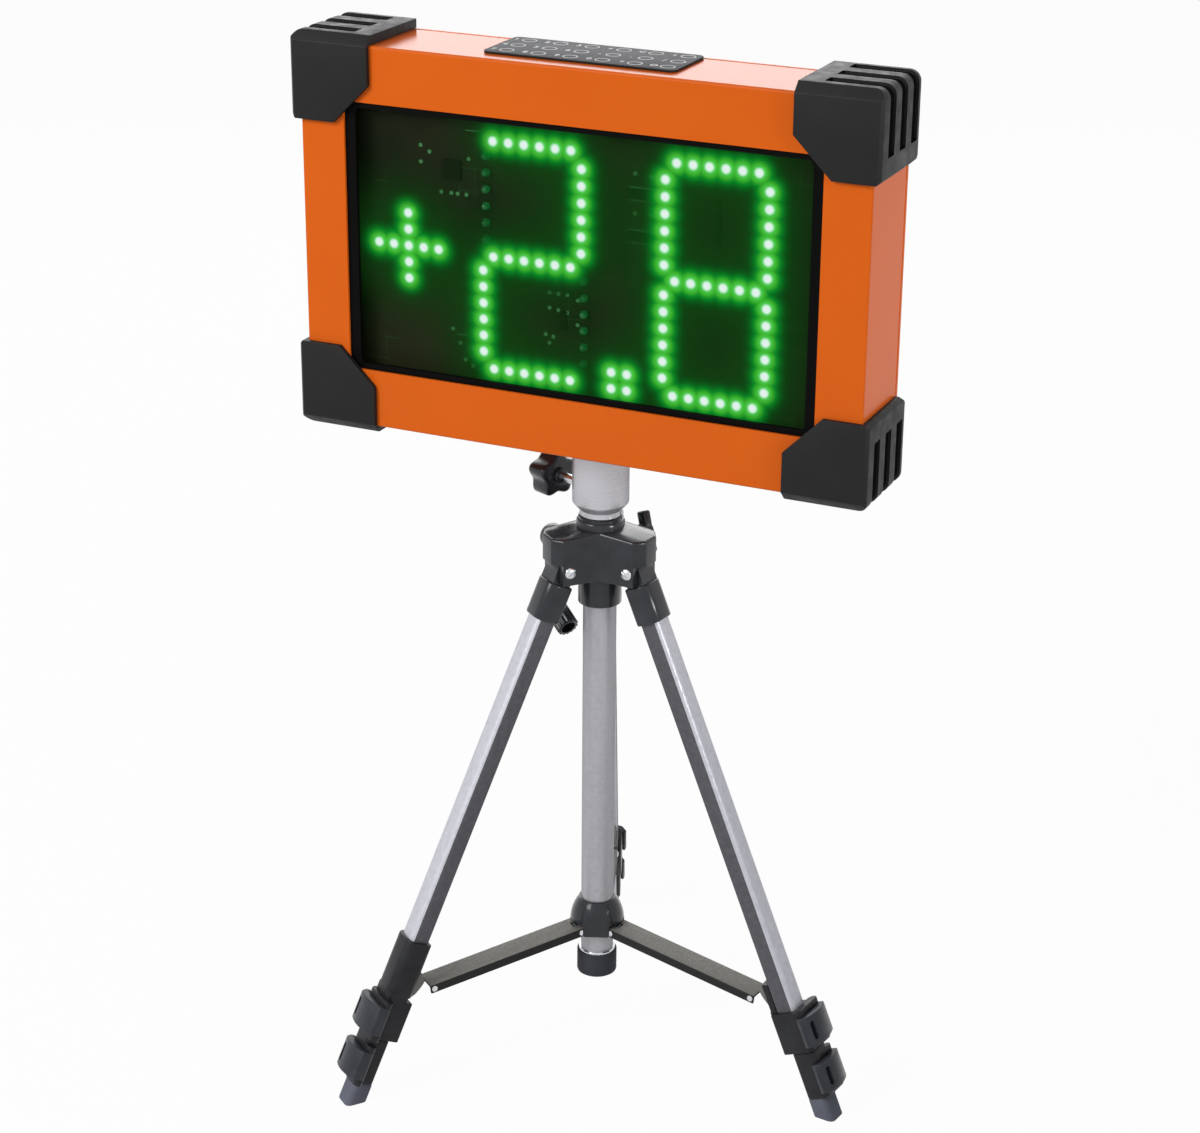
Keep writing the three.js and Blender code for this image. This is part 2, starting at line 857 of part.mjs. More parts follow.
// One hollow arm of the canopy, along +X
function canopyArm() {
  const outline = polygon([
    [0, -canopyHalfWidth],
    [canopyShoulder, -canopyHalfWidth],
    [canopyNose, -canopyNoseHalf],
    [canopyNose, canopyNoseHalf],
    [canopyShoulder, canopyHalfWidth],
    [0, canopyHalfWidth],
  ]);
  return prism(outline, canopyBottom, canopyTop);
}

// The slot that a leg's knuckle swings in, open below and at the nose
function canopySlot() {
  const start = legPivotRadius - knuckleRadius - canopyNoseWall;
  const roof = canopyTop - canopyRoof;
  const half = knuckleHalf + fitGap;
  const inner = box(start, canopyNose - canopyNoseWall, -half, half, canopyBottom - overrun, roof);
  const mouth = box(
    start,
    canopyNose + overrun,
    -canopyHalfWidth,
    canopyHalfWidth,
    canopyBottom - overrun,
    roof - canopyNoseDrop,
  );
  const keep = box(
    0,
    canopyShoulder + canopyNoseWall,
    -canopyHalfWidth - overrun,
    canopyHalfWidth + overrun,
    canopyBottom - 2 * overrun,
    canopyTop,
  ).subtract(box(0, canopyNose, -half, half, canopyBottom - 3 * overrun, canopyTop + overrun));
  return inner.add(mouth.subtract(keep));
}

function makeCanopy(group) {
  const core = upright(canopyCoreRadius, canopyBottom, canopyTop);
  const collar = upright(collarRadius, collarBottom, canopyTop);
  const wingBoss = rod(
    wingBossRadius,
    polar(wingAzimuth, 0, 0, wingHeight),
    polar(wingAzimuth, wingBossReach, 0, wingHeight),
    smallSides,
  );
  const crankBoss = rod(
    crankBossRadius,
    polar(crankAzimuth, 0, crankOffset, crankHeight),
    polar(crankAzimuth, crankBossReach, crankOffset, crankHeight),
    smallSides,
  );
  const arms = legs.map((leg) => turned(canopyArm(), leg.azimuth));
  let canopy = union([core, collar, wingBoss, crankBoss, ...arms]);
  for (const leg of legs) {
    canopy = canopy.subtract(turned(canopySlot(), leg.azimuth));
    const side = canopyHalfWidth + overrun;
    canopy = canopy.subtract(
      rod(
        pivotBoltRadius + fitGap,
        polar(leg.azimuth, legPivotRadius, -side, legPivotHeight),
        polar(leg.azimuth, legPivotRadius, side, legPivotHeight),
        smallSides,
      ),
    );
  }
  const bore = guideRadius - guideWall;
  canopy = canopy.subtract(upright(bore, collarBottom - overrun, canopyTop + overrun));
  canopy = canopy.subtract(upright(guideRadius + fitGap, collarBottom - overrun, guideTop + fitGap));
  canopy = canopy.subtract(
    rod(
      wingStudRadius + fitGap,
      polar(wingAzimuth, 0, 0, wingHeight),
      polar(wingAzimuth, wingBossReach + overrun, 0, wingHeight),
      smallSides,
    ),
  );
  canopy = canopy.subtract(
    rod(
      crankShaftRadius + fitGap,
      polar(crankAzimuth, crankBossReach - crankShaftReach - fitGap, crankOffset, crankHeight),
      polar(crankAzimuth, crankBossReach + overrun, crankOffset, crankHeight),
      smallSides,
    ),
  );
  addMesh(group, 'canopy', canopy, 'gloss');
}

function makeCrown(group) {
  makeCanopy(group);
  const bore = guideRadius - guideWall;
  const bushing = lathe([
    [bore, canopyTop],
    [bushingRadius, canopyTop],
    [bushingRadius, canopyTop + bushingHeight - bushingRim],
    [bushingRadius - bushingRim, canopyTop + bushingHeight],
    [bore, canopyTop + bushingHeight],
    [bore, canopyTop],
  ]);
  addMesh(group, 'column_bushing', bushing, 'gloss');
  const guide = lathe([
    [bore, guideBottom],
    [guideRadius, guideBottom],
    [guideRadius, endCapTop],
    [endRingRadius, endCapTop],
    [endRingRadius, endCapTop + endRingHeight],
    [guideRadius, endCapTop + endRingHeight],
    [guideRadius, guideTop],
    [bore, guideTop],
    [bore, guideBottom],
  ]);
  addMesh(group, 'guide_tube', guide, 'aluminium');
  const cap = upright(endCapRadius, endCapBottom - sheetWall, endCapTop).subtract(
    upright(guideRadius + fitGap, guideBottom - fitGap, endCapTop + overrun),
  );
  addMesh(group, 'end_cap', cap, 'rubber');
}

function makeLockWing(group) {
  const at = (out) => polar(wingAzimuth, out, 0, wingHeight);
  const stud = rod(wingStudRadius, at(columnRadius + fitGap), at(wingStart + wingThickness), smallSides);
  const hub = rod(wingHubRadius, at(wingBossReach + fitGap), at(wingStart + wingThickness), smallSides);
  const shape = roundedRect(
    -wingHalfWidth,
    wingHalfWidth,
    -wingHalfLength,
    wingHalfLength,
    Array(4).fill(wingHalfWidth / 2),
  );
  const blade = new THREE.ExtrudeGeometry(shape, {
    depth: wingThickness,
    bevelEnabled: false,
    curveSegments: cornerSteps,
  });
  const body = toSolid(blade, outward(wingAzimuth, wingStart, 0, wingHeight, wingTilt));
  addMesh(group, 'column_lock_wing', union([stud, hub, body]), 'gloss');
}

// The crank's arm: its shaft, a round hub, and a leg that steps out and down to the grip's fork
const crankElbowOut = crankBossReach + fitGap + crankHubThickness - crankArmRadius;
const crankRoot = polar(
  crankAzimuth,
  crankElbowOut + crankStep,
  crankOffset + crankSideStep,
  crankHeight - crankDrop,
);

// Frame of the folded grip: +Z along the grip, +X along its hinge pin
function gripMatrix() {
  const a = radians(crankAzimuth);
  const t = radians(gripTilt);
  const z = new THREE.Vector3(-Math.cos(a) * Math.cos(t), -Math.sin(a) * Math.cos(t), -Math.sin(t));
  const x = new THREE.Vector3(-Math.sin(a), Math.cos(a), 0);
  const y = new THREE.Vector3().crossVectors(z, x);
  const matrix = new THREE.Matrix4().makeBasis(x, y, z);
  matrix.setPosition(crankRoot);
  return matrix;
}

function makeCrank(group) {
  const hubStart = crankBossReach + fitGap;
  const at = (out) => polar(crankAzimuth, out, crankOffset, crankHeight);
  const shaftStart = crankBossReach - crankShaftReach;
  const shaft = rod(crankShaftRadius, at(shaftStart), at(hubStart + overrun), smallSides);
  const hub = rod(crankHubRadius, at(hubStart), at(hubStart + crankHubThickness), smallSides);
  const elbow = at(crankElbowOut);
  const arm = rod(crankArmRadius, elbow, crankRoot, smallSides, crankArmRadius);
  const frame = gripMatrix();
  const place = (x, y, z) => new THREE.Vector3(x, y, z).applyMatrix4(frame);
  const fork = rod(gripForkRadius, place(-gripForkHalf, 0, 0), place(gripForkHalf, 0, 0), smallSides);
  const slotHalf = gripTongueHalf + fitGap;
  const clear = gripForkRadius + fitGap;
  const slot = rod(clear, place(-slotHalf, 0, 0), place(slotHalf, 0, 0), smallSides);
  const past = gripForkHalf + overrun;
  const pinHole = rod(gripPinRadius + fitGap, place(-past, 0, 0), place(past, 0, 0), smallSides);
  const body = union([shaft, hub, arm, fork]).subtract(slot).subtract(pinHole);
  addMesh(group, 'crank_arm', body, 'gloss');
  makeGrip(group, place);
}

// The ribbed grip: a tongue with its pin at one end, and a hollow mouth at the other
function makeGrip(group, place) {
  const side = gripTongueHalf;
  const tongue = rod(gripForkRadius - fitGap, place(-side, 0, 0), place(side, 0, 0), smallSides);
  const start = gripForkRadius + fitGap;
  const neck = rod(gripTongueHalf, place(0, 0, 0), place(0, 0, start + overrun), smallSides);
  const pin = rod(gripPinRadius, place(-gripForkHalf, 0, 0), place(gripForkHalf, 0, 0), smallSides);
  const shape = lobedShape(gripRadius, gripRibDepth, gripRibs, cornerSteps);
  const barrel = new THREE.ExtrudeGeometry(shape, { depth: gripLength - start, bevelEnabled: false });
  const matrix = gripMatrix().multiply(new THREE.Matrix4().makeTranslation(0, 0, start));
  const mouthEnd = place(0, 0, gripLength + overrun);
  const mouth = rod(gripBoreRadius, place(0, 0, gripLength - gripBoreDepth), mouthEnd, smallSides);
  const body = union([tongue, neck, pin, toSolid(barrel, matrix)]).subtract(mouth);
  addMesh(group, 'crank_grip', body, 'gloss');
}

// A leg section: flat inside, rounded outside, for one of the nested tubes and grown by a margin
const sectionStep = tubeWall + fitGap;

function sectionHalf(index, margin = 0) {
  const grown = margin - index * sectionStep;
  return { halfWidth: upperHalfWidth + grown, halfDepth: upperHalfDepth + grown };
}

function legSection(index, margin) {
  const { halfWidth, halfDepth } = sectionHalf(index, margin);
  const grown = margin - index * sectionStep;
  const outer = Math.max(outerCornerRadius + grown, cornerFloor);
  const inner = Math.max(innerCornerRadius + grown, cornerFloor);
  return roundedRect(-halfDepth, halfDepth, -halfWidth, halfWidth, [outer, inner, inner, outer]);
}

// Part of a leg between two distances down from its pivot
function legPrism(shape, top, bottom, steps = tubeSteps) {
  return prism(shape, -bottom, -top, steps);
}

function legTube(index, top, bottom) {
  const bore = legPrism(legSection(index, -tubeWall), top - overrun, bottom + overrun);
  return legPrism(legSection(index, 0), top, bottom).subtract(bore);
}

function makeLegTop(group, name) {
  const side = (y) => new THREE.Vector3(0, y, 0);
  const knuckle = rod(knuckleRadius, side(-knuckleHalf), side(knuckleHalf), smallSides);
  const neck = box(-upperHalfDepth, upperHalfDepth, -knuckleHalf, knuckleHalf, -topCollarStart - overrun, 0);
  const collar = legPrism(legSection(0, topCollarWall + fitGap), topCollarStart, topCollarEnd);
  const seat = legPrism(legSection(0, fitGap), topCollarStart + sheetWall, topCollarEnd + overrun);
  const plug = legPrism(legSection(1, 0), topCollarStart, topCollarStart + sheetWall + topPlugLength);
  const hole = rod(
    pivotBoltRadius + fitGap,
    side(-knuckleHalf - overrun),
    side(knuckleHalf + overrun),
    smallSides,
  );
  const body = union([knuckle, neck, collar]).subtract(seat).add(plug).subtract(hole);
  addMesh(group, `leg_top_${name}`, body, 'gloss');
}

// A lock's body below the brace: three walls round the tube, flush on the inner side
function lockBody(top, index) {
  const { halfWidth, halfDepth } = sectionHalf(index);
  const outer = roundedRect(-halfDepth, halfDepth + lockNose, -halfWidth - lockWall, halfWidth + lockWall, [
    outerCornerRadius,
    innerCornerRadius,
    innerCornerRadius,
    outerCornerRadius,
  ]);
  return legPrism(outer, top, top + lockLength);
}

// Place of a lever's hinge in the leg's section
function leverHinge(index) {
  const { halfWidth, halfDepth } = sectionHalf(index);
  return new THREE.Vector2(
    halfDepth + lockNose - leverBarrelRadius,
    halfWidth + lockWall + leverBarrelRadius - innerCornerRadius,
  );
}

// Lugs above and below the lever's barrel, bored for its pin
function lockLugs(top, index) {
  const hinge = leverHinge(index);
  const lug = (from, to) => {
    const a = new THREE.Vector3(hinge.x, hinge.y, -to);
    const b = new THREE.Vector3(hinge.x, hinge.y, -from);
    return rod(leverBarrelRadius, a, b, smallSides).add(
      box(hinge.x - leverBarrelRadius, hinge.x + leverBarrelRadius, 0, hinge.y, -to, -from),
    );
  };
  return union([lug(top, top + leverMargin), lug(top + lockLength - leverMargin, top + lockLength)]);
}

function lockBore(top, index) {
  const hinge = leverHinge(index);
  const a = new THREE.Vector3(hinge.x, hinge.y, -top - lockLength - overrun);
  const b = new THREE.Vector3(hinge.x, hinge.y, -top + overrun);
  return rod(leverPinRadius + fitGap, a, b, ledSides);
}

// Space that the lever's barrel turns in
function barrelRoom(top, index) {
  const hinge = leverHinge(index);
  const a = new THREE.Vector3(hinge.x, hinge.y, -top - lockLength + leverMargin);
  const b = new THREE.Vector3(hinge.x, hinge.y, -top - leverMargin);
  return rod(leverBarrelRadius + leverGap, a, b, smallSides);
}

// A lever: a curved plate over the lock's nose, its barrel and its pin
function makeLever(group, name, top, index) {
  const { halfWidth, halfDepth } = sectionHalf(index);
  const hinge = leverHinge(index);
  const inner = halfDepth + lockNose + leverGap;
  const outer = inner + leverThickness;
  const tip = -halfWidth - lockWall;
  const from = top + leverMargin + fitGap;
  const to = top + lockLength - leverMargin - fitGap;
  const shape = new THREE.Shape();
  shape.moveTo(inner, tip + innerCornerRadius);
  shape.lineTo(inner - leverTipReach, tip - leverGap);
  shape.lineTo(inner - leverTipReach, tip - leverGap - innerCornerRadius);
  shape.lineTo(inner, tip - leverGap - 2 * innerCornerRadius);
  shape.quadraticCurveTo(outer, tip, outer + leverTipReach, 0);
  shape.quadraticCurveTo(outer + leverTipReach, hinge.y, hinge.x, hinge.y + leverBarrelRadius);
  shape.lineTo(hinge.x, hinge.y);
  shape.lineTo(inner, hinge.y - leverBarrelRadius);
  const plate = legPrism(shape, from, to, leverSteps);
  const at = (s) => new THREE.Vector3(hinge.x, hinge.y, -s);
  const barrel = rod(leverBarrelRadius, at(to), at(from), smallSides);
  const pin = rod(leverPinRadius, at(top + lockLength), at(top), ledSides);
  addMesh(group, name, union([plate, barrel, pin]), 'black');
}

// The brace band: a closed ring round the tube, with the wedge that the spreader arm meets
function braceBand(rise) {
  const ring = legPrism(legSection(0, bandWall + fitGap), braceCentre - rise, braceCentre + bandDrop);
  const lug = polygon([
    [-upperHalfDepth - fitGap, -braceCentre + lugLevel[0]],
    ...lugInner.map((inward, i) => [-inward, -braceCentre + lugLevel[i]]),
    [-upperHalfDepth - fitGap, -braceCentre + lugLevel[lugLevel.length - 1] + bandWall],
  ]);
  const half = armHalfWidth - armSheet;
  return ring.add(slab(lug, -half, half));
}

function makeLocks(group, leg) {
  const band = braceBand(leg.collarRise);
  const side = upperHalfWidth + bandWall;
  const jointShape = roundedRect(-upperHalfDepth, upperHalfDepth + bandWall, -side, side, [
    outerCornerRadius,
    innerCornerRadius,
    innerCornerRadius,
    outerCornerRadius,
  ]);
  const joint = legPrism(jointShape, braceCentre + bandDrop - overrun, lockOneTop + overrun);
  const boreTop = braceCentre - leg.collarRise - overrun;
  const first = union([band, joint, lockBody(lockOneTop, 0), lockLugs(lockOneTop, 0)])
    .subtract(legPrism(legSection(0, fitGap), boreTop, lockOneTop + lockLength - sheetWall))
    .subtract(legPrism(legSection(1, fitGap), lockOneTop, lockOneTop + lockLength + overrun))
    .subtract(barrelRoom(lockOneTop, 0))
    .subtract(lockBore(lockOneTop, 0));
  addMesh(group, `leg_lock_${leg.name}`, first, 'black');
  makeLever(group, `lock_lever_${leg.name}`, lockOneTop, 0);
}

function makeLowerLock(group, leg) {
  const second = union([lockBody(lockTwoTop, 1), lockLugs(lockTwoTop, 1)])
    .subtract(legPrism(legSection(1, fitGap), lockTwoTop - overrun, lockTwoTop + lockLength - sheetWall))
    .subtract(legPrism(legSection(2, fitGap), lockTwoTop, lockTwoTop + lockLength + overrun))
    .subtract(barrelRoom(lockTwoTop, 1))
    .subtract(lockBore(lockTwoTop, 1));
  addMesh(group, `lower_lock_${leg.name}`, second, 'black');
  makeLever(group, `lower_lever_${leg.name}`, lockTwoTop, 1);
}

const legMatrix = new THREE.Matrix4()
  .makeTranslation(legPivotRadius, 0, legPivotHeight)
  .multiply(new THREE.Matrix4().makeRotationY(-radians(legSplay)));

// The rubber foot, cut level where it stands on the floor
function makeFoot(group, name) {
  const footTop = lockTwoTop + lockLength + fitGap;
  const outer = legPrism(legSection(2, footWall + fitGap), footTop, legLength + footOverhang);
  const seat = legPrism(legSection(2, fitGap), footTop - overrun, legLength - footOverhang + fitGap);
  const ground = new THREE.BoxGeometry(legLength, legLength, legLength);
  ground.translate(legPivotRadius + legLength * Math.sin(radians(legSplay)), 0, -legLength / 2);
  ground.applyMatrix4(legMatrix.clone().invert());
  addMesh(group, `foot_${name}`, outer.subtract(seat).subtract(toSolid(ground)), 'rubber');
}

function makeLeg(leg) {
  const turn = new THREE.Group();
  turn.rotation.z = radians(leg.azimuth);
  const frame = new THREE.Group();
  frame.position.set(legPivotRadius, 0, legPivotHeight);
  frame.rotation.y = -radians(legSplay);
  turn.add(frame);
  part.add(turn);
  makeLegTop(frame, leg.name);
  const upperTop = topCollarStart + sheetWall + fitGap;
  const upperEnd = lockOneTop + lockLength - sheetWall - fitGap;
  addMesh(frame, `upper_tube_${leg.name}`, legTube(0, upperTop, upperEnd), 'aluminium');
  makeLocks(frame, leg);
  const middleEnd = lockTwoTop + lockLength - sheetWall - fitGap;
  addMesh(frame, `middle_tube_${leg.name}`, legTube(1, middleTop, middleEnd), 'aluminium');
  makeLowerLock(frame, leg);
  addMesh(frame, `lower_tube_${leg.name}`, legTube(2, lowerTop, legLength - footOverhang), 'aluminium');
  makeFoot(frame, leg.name);
  makePivotBolt(turn, leg.name);
}

function makePivotBolt(group, name) {
  const at = (y) => new THREE.Vector3(legPivotRadius, y, legPivotHeight);
  const face = canopyHalfWidth + fitGap;
  const shank = rod(pivotBoltRadius, at(-face - overrun), at(face + overrun), smallSides);
  const tip = face + pivotHeadHeight;
  const heads = [-1, 1].map((side) =>
    rod(pivotHeadRadius, at(side * face), at(side * tip), smallSides, pivotHeadRadius / 2),
  );
  addMesh(group, `pivot_bolt_${name}`, union([shank, ...heads]), 'steel');
}

function makeHub(group) {
  const bore = guideRadius + fitGap;
  let hub = lathe([
    [bore, hubBottom],
    [hubRadius, hubBottom],
    [hubRadius, hubShoulder],
    [hubDomeMiddleRadius, hubDomeMiddle],
    [hubTopRadius, hubTop],
    [bore, hubTop],
    [bore, hubBottom],
  ]);
  const half = armHalfWidth + armRivetHead + fitGap;
  const roof = hubShoulder + fitGap;
  for (const leg of legs) {
    const slot = box(bore - overrun, hubRadius + overrun, -half, half, hubBottom - overrun, roof);
    hub = hub.subtract(turned(slot, leg.azimuth));
  }
  for (const leg of legs) {
    const web = box(bore, hubPivotRadius, -hubTongueHalf, hubTongueHalf, hubPivotHeight, roof + overrun);
    const at = (y) => new THREE.Vector3(hubPivotRadius, y, hubPivotHeight);
    const eye = rod(armHalfHeight, at(-hubTongueHalf), at(hubTongueHalf), smallSides);
    const eyeBore = rod(armPinRadius + fitGap, at(-half), at(half), smallSides);
    hub = hub.add(turned(web.add(eye).subtract(eyeBore), leg.azimuth));
  }
  addMesh(group, 'spreader_hub', hub, 'black');
}

// The outer rivets' place, inward of the tube at the brace, sets the arms' length and slope
const braceDrop = braceCentre * Math.cos(radians(legSplay)) + openPivotInset * Math.sin(radians(legSplay));
const braceOut = braceCentre * Math.sin(radians(legSplay)) - openPivotInset * Math.cos(radians(legSplay));
const armRun = legPivotRadius + braceOut - hubPivotRadius;
const armFall = hubPivotHeight - (legPivotHeight - braceDrop);
const armLength = Math.hypot(armRun, armFall);
const armSlope = Math.atan2(armFall, armRun);

// A spreader arm: a channel open below, from its hub pivot out to the leg's bracket
function makeArm(leg) {
  const turn = new THREE.Group();
  turn.rotation.z = radians(leg.azimuth);
  const frame = new THREE.Group();
  frame.position.set(hubPivotRadius, 0, hubPivotHeight);
  frame.rotation.y = armSlope;
  turn.add(frame);
  part.add(turn);
  const end = armLength + armEndReach;
  const outer = box(-armHalfHeight, end, -armHalfWidth, armHalfWidth, -armHalfHeight, armHalfHeight);
  const inner = box(
    -armHalfHeight - overrun,
    end + overrun,
    -armHalfWidth + armSheet,
    armHalfWidth - armSheet,
    -armHalfHeight - overrun,
    armHalfHeight - armSheet,
  );
  const notch = box(
    -armHalfHeight - overrun,
    armHalfHeight + hubTongueHalf,
    -hubTongueHalf - fitGap,
    hubTongueHalf + fitGap,
    -armHalfHeight - overrun,
    armHalfHeight + overrun,
  );
  const pinEnd = armHalfWidth - armSheet / 2;
  const rivets = [
    rod(armPinRadius, new THREE.Vector3(0, -pinEnd, 0), new THREE.Vector3(0, pinEnd, 0), smallSides),
  ];
  for (const side of [-1, 1]) {
    for (const x of [0, armLength]) {
      const from = new THREE.Vector3(x, side * pinEnd, 0);
      const to = new THREE.Vector3(x, side * (armHalfWidth + armRivetHead), 0);
      rivets.push(rod(armRivetRadius, from, to, smallSides));
    }
  }
  const channel = outer.subtract(inner).subtract(notch);
  addMesh(frame, `spreader_arm_${leg.name}`, union([channel, ...rivets]), 'arm');
}

makeHousing(part);
makeRearCover(part);
makeWindow(part);
makeLeds(part);
makeElectronics(part);
makeCaps(part);
makeKeypad(part);
makeSleeve(part);
makeClampKnob(part);
makeColumn(part);
makeCrown(part);
makeLockWing(part);
makeCrank(part);
makeHub(part);
legs.forEach(makeArm);
legs.forEach(makeLeg);

// The column stands a little in front of the middle of the three feet's span
const footReach = legPivotRadius + legPivotHeight * Math.tan(radians(legSplay));
const frontFoot = footReach * Math.sin(radians(legs[0].azimuth));
const rearFoot = footReach * Math.sin(radians(legs[2].azimuth));
part.position.y = -(frontFoot + rearFoot) / 2;

export default part;
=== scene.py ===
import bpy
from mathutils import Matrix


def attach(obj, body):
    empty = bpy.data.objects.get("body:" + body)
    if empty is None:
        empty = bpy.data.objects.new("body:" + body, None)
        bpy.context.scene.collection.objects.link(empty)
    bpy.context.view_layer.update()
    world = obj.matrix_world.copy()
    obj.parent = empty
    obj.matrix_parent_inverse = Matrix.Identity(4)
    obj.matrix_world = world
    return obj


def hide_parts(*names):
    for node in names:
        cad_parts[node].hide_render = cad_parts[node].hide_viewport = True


bl_info = {
    "name": "Scoreboard on a Tripod",
    "version": (1, 0, 0),
    "blender": (4, 5, 0),
    "location": "View3D > Sidebar > Scoreboard",
    "description": "Dresses a scoreboard, its lamps and its folding tripod with fine shapes and finishes",
    "category": "Object",
}

import math

import bmesh
import bpy
from mathutils import Matrix, Vector

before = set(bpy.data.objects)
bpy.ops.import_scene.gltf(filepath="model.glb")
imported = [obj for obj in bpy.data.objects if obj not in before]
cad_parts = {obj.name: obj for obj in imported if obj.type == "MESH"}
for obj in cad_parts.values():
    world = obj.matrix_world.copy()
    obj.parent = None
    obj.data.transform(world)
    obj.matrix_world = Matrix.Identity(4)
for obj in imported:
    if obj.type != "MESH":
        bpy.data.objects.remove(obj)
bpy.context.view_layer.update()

# Lengths are in millimetres until a piece is finished, and angles are in degrees
MM = 0.001
# How far a cutter runs past what it cuts, the clearance between two fitted pieces, the distance
# within which points become one, and how near a cut's plane a point counts as on it
OVERRUN = 2.0
GAP = 0.3
MERGE = 0.0005
ON_PLANE = 0.0001
# Sides of a round shape, by its size
ROUND = 64
SMALL_ROUND = 32
FINE_ROUND = 24
# The least share of a face's normal that makes it an upper face or a side face
UP_SHARE = 0.7
SIDE_SHARE = 0.8
# Edges sharper than this many degrees stay sharp in the shading
SMOOTH = 35.0

# Axes: Y and Z exchanged, and Z turned to point outward with Y up
SWAP_Y_Z = Matrix(((1, 0, 0, 0), (0, 0, 1, 0), (0, 1, 0, 0), (0, 0, 0, 1)))
Z_OUTWARD = Matrix(((0, 0, 1, 0), (1, 0, 0, 0), (0, 1, 0, 0), (0, 0, 0, 1)))

# The column stands this far in front of the origin
COLUMN_FORWARD = 14.5992

# Head
HEAD_FRONT = -47.0
HEAD_BACK = 21.0
COVER_BACK = 25.0
HEAD_BASE = 500.0
HEAD_TOP = 780.0
HEAD_MIDDLE = (HEAD_BASE + HEAD_TOP) / 2
SHEET = 2.0
WINDOW_RISE = 1.0
WINDOW_CORNER = 4.0
SLEEVE_HOLE = 17.1
COVER_FOLD_SHARE = 0.6
PAINT_SMOOTH = 12

# Lamps and their board
LAMP_RADIUS = 2.5
LAMP_RIM = 2.9
LAMP_RIM_HEIGHT = 1.0
LAMP_BACK = -31.5
LAMP_TIP = -36.5
BOARD_FRONT = -30.7
CARRIER_WIDTH = 7.0
# The pads' faces lie this little behind the lamps' backs, so that no two faces coincide
CARRIER_HAIR = 0.0003
LAMP_STEPS = 14
DOME_STEPS = 4
GLOW_DEPTH = -37.4
GLOW_STEP = 1.0
GLOW_REACH = 18.0
GLOW_SIDE = 2.0
GLOW_RISE = 0.2
HAZE_SHARE = 0.9
SPILL_SHARE = 0.28
SPILL_REACH = 3
DIGIT_DROP = 2.5
DIGIT_SIDE = 38.1
DIGIT_ROW = 82.9
DIGIT_COLUMN = 40.7
LEFT_DIGIT = -37.7
RIGHT_DIGIT = 101.3
SIGN_PLACE = -135.3
POINT_PLACE = 30.2
POINT_DROP = 80.7
ROW_COUNT = 6
SIGN_COUNT = 5

# Corner caps
CAP_REACH = 56.0
CAP_REACH_BOTTOM = 59.0
CAP_CHAMFER = 28.0
CAP_BACK = 24.0
CAP_SIDE = 6.0
CAP_TOP = 7.0
CAP_BOTTOM = 5.0
CAP_FRONT = 4.0
CAP_CORNER = 8.0
CAP_EDGE = 0.9
CAP_FRONT_CHAMFER = 7.0
CAP_SIDE_CHAMFER = 2.5
CAP_BACK_CHAMFER = 5.0
CAP_FOOT_CHAMFER = 3.0
GROOVE_WIDTH = 12.0
GROOVE_DEPTH = 3.4
GROOVE_ROUND = 1.3
GROOVE_FIRST = 9.0
GROOVE_PITCH = 23.0
GROOVE_MARGIN = 16.0
GROOVE_COUNT = 3
GROOVE_WALL_SHARE = 0.9

# Tripod
TRIPOD_AZIMUTH = -68.0
PIVOT_RADIUS = 32.0
PIVOT_HEIGHT = 406.0
LEG_AZIMUTHS = {"left": TRIPOD_AZIMUTH - 60, "right": TRIPOD_AZIMUTH + 60, "rear": TRIPOD_AZIMUTH + 180}
LEG_HALF_WIDTH = 9.5
LEG_HALF_DEPTH = 7.5
LEG_STEP = 1.5
LEG_WALL = 1.2
LEG_OUTER_CORNER = 5.0
LEG_INNER_CORNER = 1.5


# Shapes

def column_place(azimuth=0.0):
    """Millimetres about the column's axis, turned to an azimuth, as metres in the frame."""
    place = Matrix.Scale(MM, 4) @ Matrix.Translation((0, -COLUMN_FORWARD, 0))
    return place @ Matrix.Rotation(math.radians(azimuth), 4, "Z")


def leg_place(name):
    """A leg's own frame: X outward, Y along its pivot, Z up the leg from the pivot."""
    splay = math.radians(bpy.context.scene.tripod_sizes.splay_degrees)
    place = column_place(LEG_AZIMUTHS[name]) @ Matrix.Translation((PIVOT_RADIUS, 0, PIVOT_HEIGHT))
    return place @ Matrix.Rotation(-splay, 4, "Y")


def out_place(azimuth, out, side, height, spin=0.0):
    """Z points out from the column at an azimuth, and Y points up before the spin."""
    place = column_place(azimuth) @ Matrix.Translation((out, side, height)) @ Z_OUTWARD
    return place @ Matrix.Rotation(math.radians(spin), 4, "Z")


def add_block(bm, low, high):
    made = bmesh.ops.create_cube(bm, size=1)["verts"]
    low, high = Vector(low), Vector(high)
    bmesh.ops.scale(bm, verts=made, vec=high - low)
    bmesh.ops.translate(bm, verts=made, vec=(low + high) / 2)
    return made


def add_turned(bm, profile, steps=ROUND):
    """A profile of radius and height, spun round Z. It closes on itself or ends on the axis."""
    verts = [bm.verts.new((r, 0, z)) for r, z in profile]
    pairs = list(zip(verts, verts[1:]))
    if profile[0][0] > 0:
        pairs.append((verts[-1], verts[0]))
    edges = [bm.edges.new(pair) for pair in pairs]
    spun = bmesh.ops.spin(
        bm, geom=verts + edges, cent=(0, 0, 0), axis=(0, 0, 1), angle=2 * math.pi,
        steps=steps, use_merge=True,
    )
    made = set(verts) | {g for g in spun["geom_last"] if isinstance(g, bmesh.types.BMVert)}
    reach = set(made)
    stack = list(made)
    while stack:
        for edge in stack.pop().link_edges:
            for vert in edge.verts:
                if vert not in reach:
                    reach.add(vert)
                    stack.append(vert)
    bmesh.ops.remove_doubles(bm, verts=list(reach), dist=MERGE)
    return [v for v in reach if v.is_valid]


